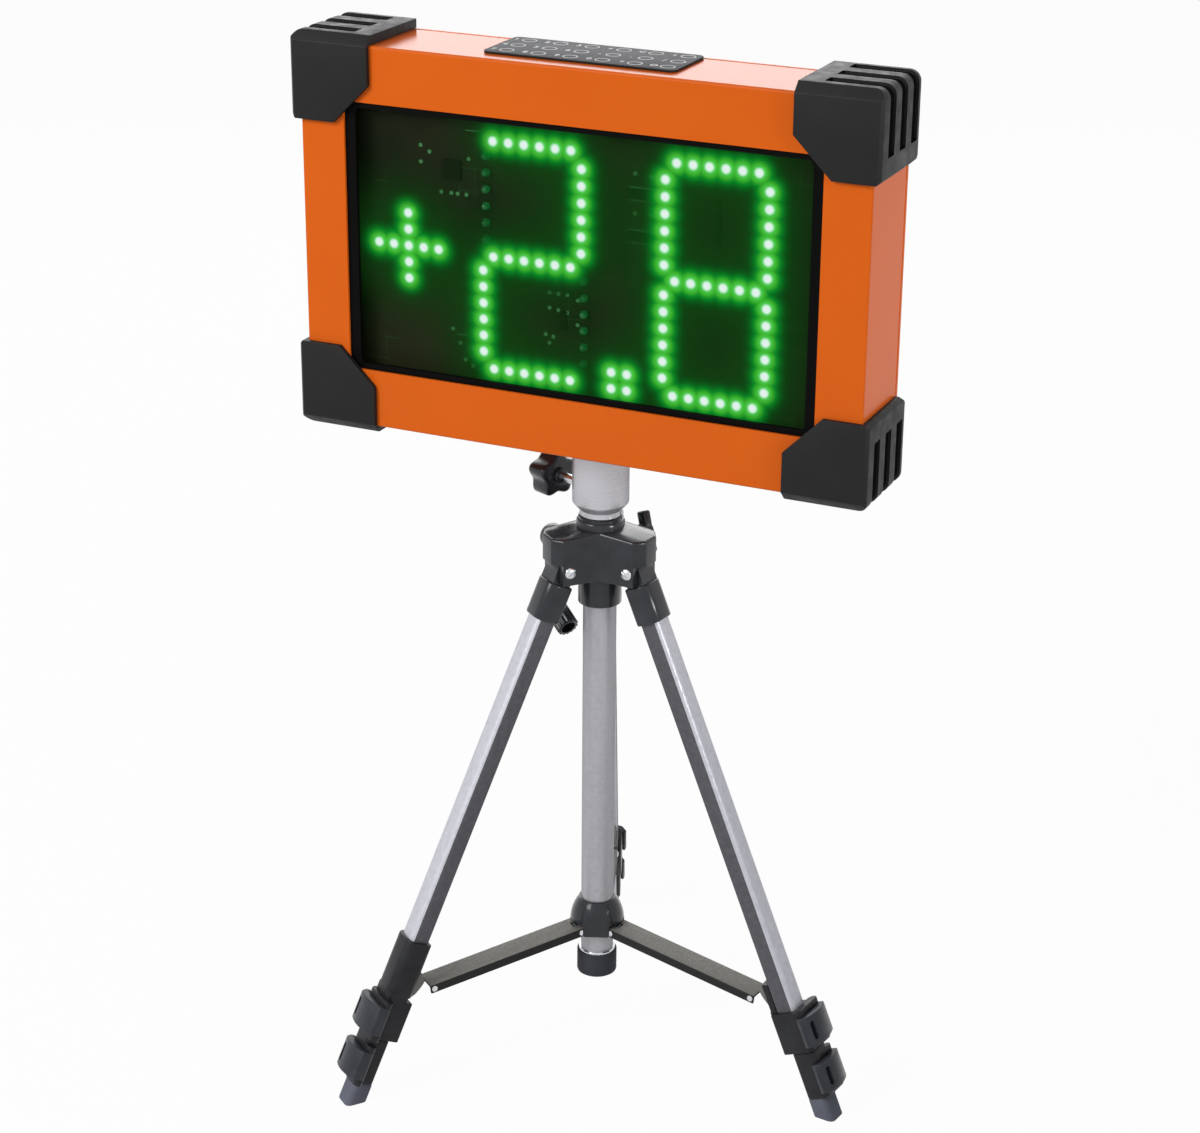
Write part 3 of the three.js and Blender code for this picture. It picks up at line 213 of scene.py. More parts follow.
def add_outline(bm, points, low, high, corners=(), steps=5):
    """A flat outline with some corners rounded, extruded along Z."""
    verts = [bm.verts.new((x, y, low)) for x, y in points]
    bm.faces.new(verts)
    for radius, which in corners:
        ring = [verts[i] for i in which]
        bmesh.ops.bevel(
            bm, geom=ring, offset=radius, segments=steps, profile=0.5, affect="VERTICES", material=-1,
        )
    face = next(f for f in bm.faces if all(abs(v.co.z - low) < MERGE for v in f.verts))
    grown = bmesh.ops.extrude_face_region(bm, geom=[face])
    top = [g for g in grown["geom"] if isinstance(g, bmesh.types.BMVert)]
    bmesh.ops.translate(bm, verts=top, vec=(0, 0, high - low))


def outline_piece(points, low, high, corners=(), steps=5):
    bm = bmesh.new()
    add_outline(bm, points, low, high, corners, steps)
    return solid(bm)


def rectangle(x0, x1, y0, y1):
    return [(x1, y1), (x0, y1), (x0, y0), (x1, y0)]


def block_piece(low, high):
    bm = bmesh.new()
    add_block(bm, low, high)
    return solid(bm)


def turned_piece(profile, steps=ROUND):
    bm = bmesh.new()
    add_turned(bm, profile, steps)
    return solid(bm)


def rod_piece(radius, start, end, steps=SMALL_ROUND):
    """A straight round bar between two points."""
    start, end = Vector(start), Vector(end)
    line = end - start
    piece = turned_piece([(0, 0), (radius, 0), (radius, line.length), (0, line.length)], steps)
    turn = line.to_track_quat("Z", "Y").to_matrix().to_4x4()
    piece.data.transform(Matrix.Translation(start) @ turn)
    return piece


def upright_rod(radius, low, high, steps=SMALL_ROUND):
    return rod_piece(radius, (0, 0, low), (0, 0, high), steps)


def turn_piece(piece, azimuth):
    piece.data.transform(Matrix.Rotation(math.radians(azimuth), 4, "Z"))
    return piece


def turned_block(low, high, azimuth):
    return turn_piece(block_piece(low, high), azimuth)


def link_object(name, data):
    made = bpy.data.objects.new(name, data)
    bpy.context.scene.collection.objects.link(made)
    return made


def mesh_of(bm, name="scratch"):
    mesh = bpy.data.meshes.new(name)
    bm.to_mesh(mesh)
    bm.free()
    return mesh


def solid(bm):
    """A scratch object, in millimetres, with its faces pointing out."""
    bmesh.ops.remove_doubles(bm, verts=bm.verts, dist=MERGE)
    bmesh.ops.recalc_face_normals(bm, faces=bm.faces)
    return link_object("scratch", mesh_of(bm))


def settle(piece):
    """Applies a piece's modifiers to its mesh."""
    bpy.context.view_layer.update()
    graph = bpy.context.evaluated_depsgraph_get()
    fresh = bpy.data.meshes.new_from_object(piece.evaluated_get(graph))
    old = piece.data
    piece.modifiers.clear()
    piece.data = fresh
    bpy.data.meshes.remove(old)
    return piece


def combine(piece, others, operation):
    """Cuts other pieces from this one or joins them to it, and discards them."""
    for other in others:
        tool = piece.modifiers.new("join", "BOOLEAN")
        tool.operation = operation
        tool.solver = "EXACT"
        tool.object = other
    settle(piece)
    for other in others:
        bpy.data.meshes.remove(other.data)
    return piece


def carve(piece, *cutters):
    return combine(piece, cutters, "DIFFERENCE")


def weld(piece, *others):
    return combine(piece, others, "UNION")


def round_edges(piece, width, steps=2, angle=SMOOTH):
    """Rounds the edges that are sharper than an angle."""
    bevel = piece.modifiers.new("edges", "BEVEL")
    bevel.width = width
    bevel.segments = steps
    bevel.limit_method = "ANGLE"
    bevel.angle_limit = math.radians(angle)
    bevel.use_clamp_overlap = True
    return settle(piece)


def slice_off(bm, point, normal):
    """Cuts away what lies on the normal's side of a plane, and closes the cut."""
    cut = bmesh.ops.bisect_plane(
        bm, geom=bm.verts[:] + bm.edges[:] + bm.faces[:], plane_co=point, plane_no=normal,
        clear_outer=True, dist=ON_PLANE,
    )
    rim = [g for g in cut["geom_cut"] if isinstance(g, bmesh.types.BMEdge)]
    bmesh.ops.edgeloop_fill(bm, edges=rim)


def slice_piece(piece, *planes):
    """Slices a piece by planes, each a point and the normal of the side that goes."""
    bm = bmesh.new()
    bm.from_mesh(piece.data)
    for point, normal in planes:
        slice_off(bm, point, normal)
    bmesh.ops.recalc_face_normals(bm, faces=bm.faces)
    bm.to_mesh(piece.data)
    bm.free()
    return piece


def finish_piece(piece, name, body, material, place, nodes=(), smooth=SMOOTH):
    """Names a piece, moves it to its place in metres, ties it to its body and hides the CAD nodes that it
    stands for.
    """
    piece.name = name
    piece.data.name = name
    piece.data.transform(place)
    if place.determinant() < 0:
        piece.data.flip_normals()
    piece.data.shade_smooth()
    piece.data.set_sharp_from_angle(angle=math.radians(smooth))
    listed = material if isinstance(material, (list, tuple)) else [material]
    indices = [0] * len(piece.data.polygons)
    if len(listed) > 1:
        piece.data.polygons.foreach_get("material_index", indices)
    piece.data.materials.clear()
    for entry in listed:
        piece.data.materials.append(FINISHES[entry])
    piece.data.polygons.foreach_set("material_index", indices)
    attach(piece, body)
    if nodes:
        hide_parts(*nodes)
    return piece


# Finishes

FINISHES = {}
NOISE_LOW_SHARE, NOISE_HIGH_SHARE = 0.3, 0.7


def linear(colour):
    """A colour of 0 to 255 steps, as Blender's linear light."""
    steps = []
    for part in colour:
        part = part / 255
        steps.append(part / 12.92 if part <= 0.04045 else ((part + 0.055) / 1.055) ** 2.4)
    return (*steps, 1.0)


class Finish:
    """A node material built up step by step from a Principled shader."""

    def __init__(self, name, colour, roughness, metallic=0.0):
        self.material = bpy.data.materials.new(name)
        self.material.use_nodes = True
        self.nodes = self.material.node_tree.nodes
        self.links = self.material.node_tree.links
        self.shader = self.nodes["Principled BSDF"]
        self.base = linear(colour)
        self.set("Base Color", self.base)
        self.set("Roughness", roughness)
        self.set("Metallic", metallic)
        self.place = self.nodes.new("ShaderNodeTexCoord").outputs["Object"]
        FINISHES[name] = self.material

    def set(self, socket, value):
        self.shader.inputs[socket].default_value = value
        return self

    def link(self, source, target):
        self.links.new(source, target)

    def math(self, operation, first, second):
        node = self.nodes.new("ShaderNodeMath")
        node.operation = operation
        for socket, value in zip(node.inputs, (first, second)):
            if isinstance(value, (int, float)):
                socket.default_value = value
            else:
                self.link(value, socket)
        return node.outputs[0]

    def split(self):
        node = self.nodes.new("ShaderNodeSeparateXYZ")
        self.link(self.place, node.inputs[0])
        return node.outputs

    def noise(self, scale, detail, stretch=(1, 1, 1)):
        mapping = self.nodes.new("ShaderNodeMapping")
        mapping.inputs["Scale"].default_value = stretch
        self.link(self.place, mapping.inputs["Vector"])
        node = self.nodes.new("ShaderNodeTexNoise")
        node.inputs["Scale"].default_value = scale
        node.inputs["Detail"].default_value = detail
        self.link(mapping.outputs[0], node.inputs["Vector"])
        return node.outputs["Fac"]

    def spread(self, source, low, high):
        """A noise's usual range, taken to another range."""
        node = self.nodes.new("ShaderNodeMapRange")
        node.inputs["From Min"].default_value = NOISE_LOW_SHARE
        node.inputs["From Max"].default_value = NOISE_HIGH_SHARE
        node.inputs["To Min"].default_value = low
        node.inputs["To Max"].default_value = high
        self.link(source, node.inputs["Value"])
        return node.outputs[0]

    def tint(self, source, colour, share):
        """Mixes another colour, up to a share, over what the base colour holds so far."""
        node = self.nodes.new("ShaderNodeMix")
        node.data_type = "RGBA"
        self.link(self.spread(source, 0.0, share), node.inputs["Factor"])
        socket = self.shader.inputs["Base Color"]
        if socket.is_linked:
            self.link(socket.links[0].from_socket, node.inputs["A"])
        else:
            node.inputs["A"].default_value = self.base
        node.inputs["B"].default_value = linear(colour)
        self.link(node.outputs["Result"], socket)
        return self

    def rough(self, source, low, high):
        self.link(self.spread(source, low, high), self.shader.inputs["Roughness"])
        return self

    def bump(self, source, depth, strength):
        node = self.nodes.new("ShaderNodeBump")
        node.inputs["Strength"].default_value = strength
        node.inputs["Distance"].default_value = depth * MM
        self.link(source, node.inputs["Height"])
        self.link(node.outputs[0], self.shader.inputs["Normal"])
        return self


def coat(weight, ior, roughness):
    """The sockets of a clear coat."""
    return {"Coat Weight": weight, "Coat IOR": ior, "Coat Roughness": roughness}


def shine(colour, strength):
    """The sockets of a surface that gives off its own light."""
    return {"Emission Color": linear(colour), "Emission Strength": strength}


def specular(level):
    return {"Specular IOR Level": level}


def metal_tint(red, green, blue):
    return {"Specular Tint": (red, green, blue, 1.0)}


# A noise is its scale and detail, and its stretch where it has one
LATHE = (30, 4, (1, 1, 60))
DRAWN = (90, 4, (1, 1, 0.05))
LOCK_COAT = {**specular(0.1), **coat(0.6, 1.25, 0.25)}
TURNED_TINT, TUBE_TINT = metal_tint(0.2, 0.2, 0.22), metal_tint(0.3, 0.3, 0.32)

# Each finish: name, colour, roughness and metal share, then the sockets, the tints as
# (noise, colour, share), the roughness as (noise, low, high) and the bump as
# (noise, depth, strength). None leaves the last two out.
PLAIN_FINISHES = (
    ("cap_black", (26, 26, 26), 0.5, 0.0, specular(0.18), [((40, 3), (31, 31, 32), 0.6)],
     ((120, 3), 0.42, 0.58), ((1600, 3), 0.05, 0.25)),
    # Painted shade: the cap's grooves get this darker black where shade falls in them
    ("groove_painted_shade", (7, 7, 7), 0.8, 0.0, specular(0.05), [((60, 3), (11, 11, 11), 0.6)],
     None, ((1400, 3), 0.05, 0.25)),
    ("window_black", (9, 8, 8), 0.6, 0.0, specular(0.04), [],
     ((200, 2), 0.42, 0.58), ((1400, 2), 0.03, 0.2)),
    ("moulded_black", (32, 34, 38), 0.35, 0.0, {**specular(0.08), **coat(1.0, 1.34, 0.16)},
     [((55, 4), (52, 55, 61), 0.7)], ((150, 4), 0.24, 0.42), ((700, 3), 0.05, 0.25)),
    ("lock_black", (28, 28, 31), 0.4, 0.0, LOCK_COAT, [((70, 4), (46, 47, 51), 0.75)],
     ((180, 4), 0.34, 0.52), ((800, 3), 0.06, 0.3)),
    ("lever_black", (50, 52, 58), 0.4, 0.0, LOCK_COAT, [((70, 4), (68, 70, 78), 0.75)],
     ((180, 4), 0.34, 0.52), ((800, 3), 0.06, 0.3)),
    ("grey_rubber", (58, 59, 65), 0.75, 0.0, specular(0.15), [((60, 4), (74, 76, 83), 0.7)],
     None, ((900, 3), 0.08, 0.35)),
    ("foot_rubber", (98, 101, 113), 0.75, 0.0, specular(0.15), [((60, 4), (116, 119, 134), 0.7)],
     None, ((900, 3), 0.08, 0.35)),
    # Lit and shaded copies of one aluminium: painted light on the tubes' wide faces, painted shade on their
    # narrow sides
    ("tube_face_painted_light", (211, 212, 220), 0.38, 0.38, TUBE_TINT, [((260, 4), (188, 189, 198), 0.6)],
     ((240, 3), 0.32, 0.48), ((1500, 2), 0.02, 0.12)),
    ("tube_side_painted_shade", (96, 96, 101), 0.38, 0.38, TUBE_TINT, [((260, 4), (76, 76, 81), 0.6)],
     ((240, 3), 0.32, 0.48), ((1500, 2), 0.02, 0.12)),
    ("turned_metal", (200, 200, 205), 0.28, 0.5, TURNED_TINT, [(LATHE, (184, 184, 190), 0.4)],
     (LATHE, 0.2, 0.34), (LATHE, 0.01, 0.06)),
    ("drawn_metal", (186, 186, 191), 0.4, 0.38, TURNED_TINT,
     [(DRAWN, (164, 164, 169), 0.7), ((280, 3), (198, 198, 202), 0.4)],
     (DRAWN, 0.34, 0.5), (DRAWN, 0.02, 0.15)),
    ("bright_steel", (214, 215, 218), 0.2, 1.0, {}, [((300, 3), (180, 181, 186), 0.5)],
     ((400, 3), 0.16, 0.3), ((900, 2), 0.02, 0.1)),
    ("arm_black", (34, 34, 34), 0.5, 0.1, specular(0.2), [((300, 3), (40, 40, 40), 0.7)],
     None, ((900, 3), 0.05, 0.3)),
    ("arm_grey", (120, 118, 114), 0.55, 0.2, specular(0.2),
     [((600, 4), (140, 138, 133), 0.8), ((1100, 3), (92, 90, 87), 0.5)],
     ((500, 3), 0.45, 0.68), ((900, 3), 0.05, 0.3)),
    ("chip_black", (24, 34, 20), 0.7, 0.0, specular(0.02), [((300, 3), (30, 36, 25), 0.7)],
     None, ((1200, 2), 0.02, 0.2)),
    # The solder pads' green glow is painted light from the lit lamps; the pads give off none of their own
    ("solder", (96, 150, 100), 0.4, 0.3, shine((40, 110, 56), 1.5), [((900, 3), (60, 92, 60), 0.7)],
     None, ((1500, 2), 0.03, 0.3)),
    ("battery_wrap", (46, 79, 138), 0.35, 0.0, {}, [((30, 3), (36, 64, 118), 0.6)],
     None, ((90, 2), 0.15, 0.3)),
    ("white_print", (226, 226, 226), 0.5, 0.0, {}, [((700, 3), (200, 200, 202), 0.7)],
     ((300, 2), 0.45, 0.6), None),
    ("keypad_film", (96, 97, 100), 0.6, 0.0, specular(0.08), [((50, 3), (88, 89, 92), 0.6)],
     ((350, 3), 0.55, 0.68), ((1300, 3), 0.02, 0.2)),
    ("lamp_lit", (40, 150, 60), 0.4, 0.0, {**specular(0.1), **shine((70, 205, 66), 1.0)},
     [((500, 2), (60, 170, 80), 0.5)], None, None),
    # The unlit lamps' faint green glow is a painted reflection of the lit lamps' light; they give off none
    ("dark_lamp_painted_glow", (18, 92, 44), 0.25, 0.0, shine((10, 120, 52), 0.45),
     [((500, 2), (10, 60, 28), 0.7)], None, None),
    ("window_pane", (4, 9, 5), 0.08, 0.0, {**specular(0.06), "Alpha": 0.12}, [],
     ((30, 2), 0.06, 0.12), None),
)


def make_finish(name, colour, roughness, metallic, sockets, tints, rough, bump):
    finish = Finish(name, colour, roughness, metallic)
    for socket, value in sockets.items():
        finish.set(socket, value)
    for noise, shade, share in tints:
        finish.tint(finish.noise(*noise), shade, share)
    if rough:
        noise, low, high = rough
        finish.rough(finish.noise(*noise), low, high)
    if bump:
        noise, depth, strength = bump
        finish.bump(finish.noise(*noise), depth, strength)
    return finish


def make_paint(colour):
    """The housing's powder coat, whose shine is all in its coat."""
    make_finish(
        "orange_coat", colour, 0.5, 0.0, {**specular(0.0), **coat(1.0, 1.18, 0.2)},
        [((14, 2), (208, 88, 18), 0.3)], ((60, 3), 0.45, 0.55), ((900, 2), 0.03, 0.12),
    )


# In metres, as Object coordinates are
TRACE_PITCHES = (0.0061, 0.0083)
TRACE_WIDTH_SHARE = 0.045
TRACE_PATCH_SHARE = 0.56


def make_board():
    """The board's lacquer, with copper traces in patches along its two directions."""
    board = Finish("board_green", (46, 49, 27), 0.6).set("Specular IOR Level", 0.08)
    board.tint(board.noise(9, 2), (22, 30, 15), 0.9)
    x, _, z = board.split()
    for across, pitch in zip((x, z), TRACE_PITCHES):
        wave = board.math("PINGPONG", across, pitch)
        near = board.math("LESS_THAN", wave, pitch * TRACE_WIDTH_SHARE)
        patches = board.math("GREATER_THAN", board.noise(38, 1), TRACE_PATCH_SHARE)
        board.tint(board.math("MULTIPLY", near, patches), (48, 86, 44), 0.6)
    board.rough(board.noise(80, 3), 0.42, 0.58)
    board.bump(board.noise(500, 2), 0.02, 0.15)


GLOW_STRENGTH = 1.14
GLOW_FAR, GLOW_CORE = (20, 74, 20), (246, 255, 252)


def glow_shades(colour):
    """The glow's colours by their distance from the nearest lit lamp."""
    return (
        (2.3, (232, 255, 244)), (3.1, (176, 245, 190)), (4.2, (84, 214, 84)), (6.2, (66, 196, 52)),
        (9.0, colour), (12.0, (10, 108, 32)), (15.0, (14, 84, 24)),
    )


def make_glow(colour):
    """The light's haze round the lamps, from two measures that the glow sheet carries at each point."""
    glow = Finish("lamp_glow", (0, 0, 0), 1.0).set("Specular IOR Level", 0.0)
    measures = []
    for name in ("near", "haze"):
        node = glow.nodes.new("ShaderNodeAttribute")
        node.attribute_name = name
        measures.append(node.outputs["Fac"])
    near, haze = measures
    ramp = glow.nodes.new("ShaderNodeValToRGB")
    stops = ramp.color_ramp.elements
    for stop, position, shade in zip(stops, (0.0, 1.0), (GLOW_FAR, GLOW_CORE)):
        stop.position = position
        stop.color = linear(shade)
    for reach, shade in glow_shades(colour):
        stops.new(1 - reach / GLOW_REACH).color = linear(shade)
    glow.link(near, ramp.inputs["Fac"])
    glow.link(ramp.outputs["Color"], glow.shader.inputs["Emission Color"])
    glow.set("Emission Strength", GLOW_STRENGTH)
    glow.link(haze, glow.shader.inputs["Alpha"])


def make_finishes():
    colours = bpy.context.scene.finish_colours
    make_paint(tuple(colours.paint))
    for entry in PLAIN_FINISHES:
        make_finish(*entry)
    make_board()
    make_glow(tuple(colours.glow))


def mark_faces(piece, test):
    """Gives the faces whose middle and normal pass the test the second material."""
    for face in piece.data.polygons:
        face.material_index = 1 if test(face.center, face.normal) else 0
    return piece


# Head

def rounded_block(low, high, radius, steps=3):
    """A block with all its edges rounded alike."""
    bm = bmesh.new()
    add_block(bm, low, high)
    bmesh.ops.bevel(
        bm, geom=bm.edges[:], offset=radius, segments=steps, profile=0.5, affect="EDGES", material=-1,
    )
    return solid(bm)


def upright_slab(points, near, far, corners=(), steps=5):
    """An outline in X and Z, extruded along Y."""
    piece = outline_piece(points, near, far, corners, steps)
    piece.data.transform(SWAP_Y_Z)
    piece.data.flip_normals()
    return piece


def build_housing():
    sizes = bpy.context.scene.head_sizes
    half = sizes.width / 2
    shell = rounded_block((-half, HEAD_FRONT, HEAD_BASE), (half, HEAD_BACK, HEAD_TOP), sizes.fold_radius)
    inner = block_piece(
        (-half + SHEET, HEAD_FRONT + SHEET, HEAD_BASE + SHEET),
        (half - SHEET, HEAD_BACK + OVERRUN, HEAD_TOP - SHEET),
    )
    side, rise = sizes.window_width / 2, sizes.window_height / 2
    middle = HEAD_MIDDLE + WINDOW_RISE
    window = upright_slab(
        rectangle(-side, side, middle - rise, middle + rise),
        HEAD_FRONT - OVERRUN, HEAD_FRONT + SHEET + OVERRUN, [(WINDOW_CORNER, range(4))],
    )
    hole = rod_piece(SLEEVE_HOLE, (0, 0, HEAD_BASE - OVERRUN), (0, 0, HEAD_BASE + SHEET + OVERRUN))
    carve(shell, inner, window, hole)
    finish_piece(
        shell, "housing_shell", "head", "orange_coat", column_place(), ["housing"],
        PAINT_SMOOTH,
    )


def build_rear_cover():
    sizes = bpy.context.scene.head_sizes
    half = sizes.width / 2
    fold = sizes.fold_radius * COVER_FOLD_SHARE
    cover = rounded_block((-half, HEAD_BACK, HEAD_BASE), (half, COVER_BACK, HEAD_TOP), fold)
    finish_piece(
        cover, "back_cover", "head", "orange_coat", column_place(), ["rear_cover"],
        PAINT_SMOOTH,
    )


def cap_outline(level):
    """The cap's inner and outer reach along X and Z, from the head's middle."""
    half = bpy.context.scene.head_sizes.width / 2
    tall = (HEAD_TOP - HEAD_BASE) / 2
    reach, proud = (CAP_REACH, CAP_TOP) if level > 0 else (CAP_REACH_BOTTOM, CAP_BOTTOM)
    return half - CAP_REACH, half + CAP_SIDE, tall - reach, tall + proud


def cap_groove(bounds, start):
    """A cutter that runs over the cap's top, round its corner and down its side."""
    x0, x1, z0, z1 = bounds
    far = OVERRUN * 2
    radius = CAP_CORNER - GROOVE_DEPTH
    points = [
        (x0 + GROOVE_MARGIN, z1 - GROOVE_DEPTH),
        (x1 - GROOVE_DEPTH, z1 - GROOVE_DEPTH),
        (x1 - GROOVE_DEPTH, z0 + GROOVE_MARGIN),
        (x1 + far, z0 + GROOVE_MARGIN),
        (x1 + far, z1 + far),
        (x0 + GROOVE_MARGIN, z1 + far),
    ]
    cutter = upright_slab(points, start, start + GROOVE_WIDTH, [(radius, [1])], 6)
    return round_edges(cutter, GROOVE_ROUND, 3, 50)


def mark_grooves(cap, bounds, starts):
    """Gives the faces that lie down in a groove the second material, a darker black that is painted shade in
    the grooves.
    """
    _, x1, _, z1 = bounds
    corner_x, corner_z = x1 - CAP_CORNER, z1 - CAP_CORNER
    for face in cap.data.polygons:
        x, y, z = face.center
        depth = min(x1 - x, z1 - z)
        if x > corner_x and z > corner_z:
            depth = CAP_CORNER - math.hypot(x - corner_x, z - corner_z)
        within = any(start < y < start + GROOVE_WIDTH for start in starts)
        floor = CAP_EDGE < depth < GROOVE_DEPTH + GAP
        wall = abs(face.normal.y) > GROOVE_WALL_SHARE and GAP < depth < GROOVE_DEPTH
        face.material_index = 1 if within and (floor or wall) else 0


def build_cap(name, side, level):
    bounds = cap_outline(level)
    x0, x1, z0, z1 = bounds
    front = HEAD_FRONT - CAP_FRONT
    points = [(x0, z0 + CAP_CHAMFER), (x0 + CAP_CHAMFER, z0), (x1, z0), (x1, z1), (x0, z1)]
    cap = upright_slab(points, front, CAP_BACK, [(CAP_CORNER, [3])], 8)
    slice_piece(
        cap,
        ((0, front, z1 - CAP_FRONT_CHAMFER), (0, -1, 1)),
        ((x1 - CAP_SIDE_CHAMFER, front, 0), (1, -1, 0)),
        ((x1, CAP_BACK - CAP_BACK_CHAMFER, z0), (0, 1, -1)),
        ((x1 - CAP_FOOT_CHAMFER, 0, z0), (1, 0, -1)),
    )
    round_edges(cap, CAP_EDGE, 3, 25)
    half = bpy.context.scene.head_sizes.width / 2 + GAP
    tall = (HEAD_TOP - HEAD_BASE) / 2 + GAP
    pocket = block_piece((x0 - OVERRUN, HEAD_FRONT - GAP, z0 - OVERRUN), (half, CAP_BACK + OVERRUN, tall))
    starts = [HEAD_FRONT + GROOVE_FIRST + i * GROOVE_PITCH for i in range(GROOVE_COUNT)]
    carve(cap, pocket, *[cap_groove(bounds, start) for start in starts])
    # The faces down in the grooves take the painted shade
    mark_grooves(cap, bounds, starts)
    mirror = Matrix.Diagonal((side, 1, level, 1))
    place = column_place() @ Matrix.Translation((0, 0, HEAD_MIDDLE)) @ mirror
    finish_piece(cap, name + "_cover", "head", ["cap_black", "groove_painted_shade"], place, [name])


def build_caps():
    for upright, level in (("top", 1), ("bottom", -1)):
        for across, side in (("left", -1), ("right", 1)):
            build_cap(f"cap_{upright}_{across}", side, level)


# Lamps: each place has its middle and whether it shines

def lamp_line(x, z, step_x, step_z, count, lit=True):
    middle = (count - 1) / 2
    return [(x + (i - middle) * step_x, z + (i - middle) * step_z, lit) for i in range(count)]


def digit_lamps(x, z, dark=()):
    pitch = bpy.context.scene.lamp_sizes.pitch
    lamps = []
    for row in (-1, 0, 1):
        lamps += lamp_line(x, z + row * DIGIT_ROW, pitch, 0, ROW_COUNT)
    for side in (-1, 1):
        for half in (-1, 1):
            lit = (side, half) not in dark
            lamps += lamp_line(x + side * DIGIT_SIDE, z + half * DIGIT_COLUMN, 0, pitch, ROW_COUNT, lit)
    return lamps


def sign_lamps(x, z):
    pitch = bpy.context.scene.lamp_sizes.pitch
    column = [lamp for lamp in lamp_line(x, z, 0, pitch, SIGN_COUNT) if lamp[1] != z]
    return lamp_line(x, z, pitch, 0, SIGN_COUNT) + column


def point_lamps(x, z):
    pitch = bpy.context.scene.lamp_sizes.pitch
    return [lamp for side in (-1, 1) for lamp in lamp_line(x, z + side * pitch / 2, pitch, 0, 2)]


def all_lamps():
    level = HEAD_MIDDLE - DIGIT_DROP
    return {
        "left_digit_leds": digit_lamps(LEFT_DIGIT, level, ((-1, 1), (1, -1))),
        "right_digit_leds": digit_lamps(RIGHT_DIGIT, level),
        "sign_leds": sign_lamps(SIGN_PLACE, level),
        "point_leds": point_lamps(POINT_PLACE, HEAD_MIDDLE - POINT_DROP),
    }


def lamp_profile():
    """A lamp's outline from its back to its tip: a rim, a straight body and a dome."""
    dome = []
    for i in range(DOME_STEPS):
        angle = math.pi / 2 * i / DOME_STEPS
        dome.append((LAMP_RADIUS * math.cos(angle), LAMP_TIP + LAMP_RADIUS - LAMP_RADIUS * math.sin(angle)))
    rim = LAMP_BACK - LAMP_RIM_HEIGHT
    foot = [(0, LAMP_BACK), (LAMP_RIM, LAMP_BACK), (LAMP_RIM, rim), (LAMP_RADIUS, rim)]
    return foot + dome + [(0, LAMP_TIP)]


def build_lamp_bank(node, lamps):
    """One bank's lamps on square pads. Slot 0 is the pads, 1 the lit lamps and 2 the dark ones, whose faint
    green glow is painted light.
    """
    bm = bmesh.new()
    half = CARRIER_WIDTH / 2
    profile = lamp_profile()
    for x, z, lit in lamps:
        add_block(bm, (x - half, LAMP_BACK + CARRIER_HAIR, z - half), (x + half, BOARD_FRONT, z + half))
        before = set(bm.faces)
        made = add_turned(bm, profile, LAMP_STEPS)
        bmesh.ops.transform(bm, matrix=Matrix.Translation((x, 0, z)) @ SWAP_Y_Z, verts=made)
        for face in set(bm.faces) - before:
            face.material_index = 1 if lit else 2
    bmesh.ops.recalc_face_normals(bm, faces=bm.faces)
    finish_piece(
        link_object("scratch", mesh_of(bm)), node.replace("leds", "lamps"), "head",
        ["board_green", "lamp_lit", "dark_lamp_painted_glow"], column_place(), [node],
    )


def glow_sheet():
    """A fine upright grid just before the lamps' tips, as large as the window."""
    sizes = bpy.context.scene.head_sizes
    side, rise = sizes.window_width / 2 - GLOW_SIDE, sizes.window_height / 2 - GLOW_RISE
    bm = bmesh.new()
    made = bmesh.ops.create_grid(
        bm, x_segments=int(2 * side / GLOW_STEP), y_segments=int(2 * rise / GLOW_STEP), size=1,
    )["verts"]
    bmesh.ops.scale(bm, verts=made, vec=(side, rise, 1))
    bmesh.ops.rotate(bm, verts=made, cent=(0, 0, 0), matrix=Matrix.Rotation(math.pi / 2, 3, "X"))
    bmesh.ops.translate(bm, verts=made, vec=(0, GLOW_DEPTH, HEAD_MIDDLE + WINDOW_RISE))
    return mesh_of(bm)


def glow_at(x, z, lit):
    """How near a point is to a lit lamp, and how dense the light's haze is there."""
    sizes = bpy.context.scene.lamp_sizes
    closest, total = GLOW_REACH, 0.0
    for lamp_x, lamp_z in lit:
        square = (lamp_x - x) ** 2 + (lamp_z - z) ** 2
        if square < (SPILL_REACH * sizes.spill_radius) ** 2:
            closest = min(closest, math.sqrt(square))
            total += HAZE_SHARE * math.exp(-square / sizes.haze_radius ** 2)
            total += SPILL_SHARE * math.exp(-square / sizes.spill_radius ** 2)
    core = min(1.0, 2 - closest / sizes.core_radius)
    return 1 - closest / GLOW_REACH, max(1 - math.exp(-total), core)


def build_glow(lamps):
    """The glow sheet, which carries both of its measures at each point."""
    mesh = glow_sheet()
    lit = [(x, z) for x, z, shines in lamps if shines]
    measures = [glow_at(vert.co.x, vert.co.z, lit) for vert in mesh.vertices]
    for name, values in zip(("near", "haze"), zip(*measures)):
        mesh.attributes.new(name, "FLOAT", "POINT").data.foreach_set("value", values)
    piece = link_object("scratch", mesh)
    finish_piece(piece, "lamp_haze", "head", "lamp_glow", column_place(), ())


# Small parts of the board, as places from the head's middle

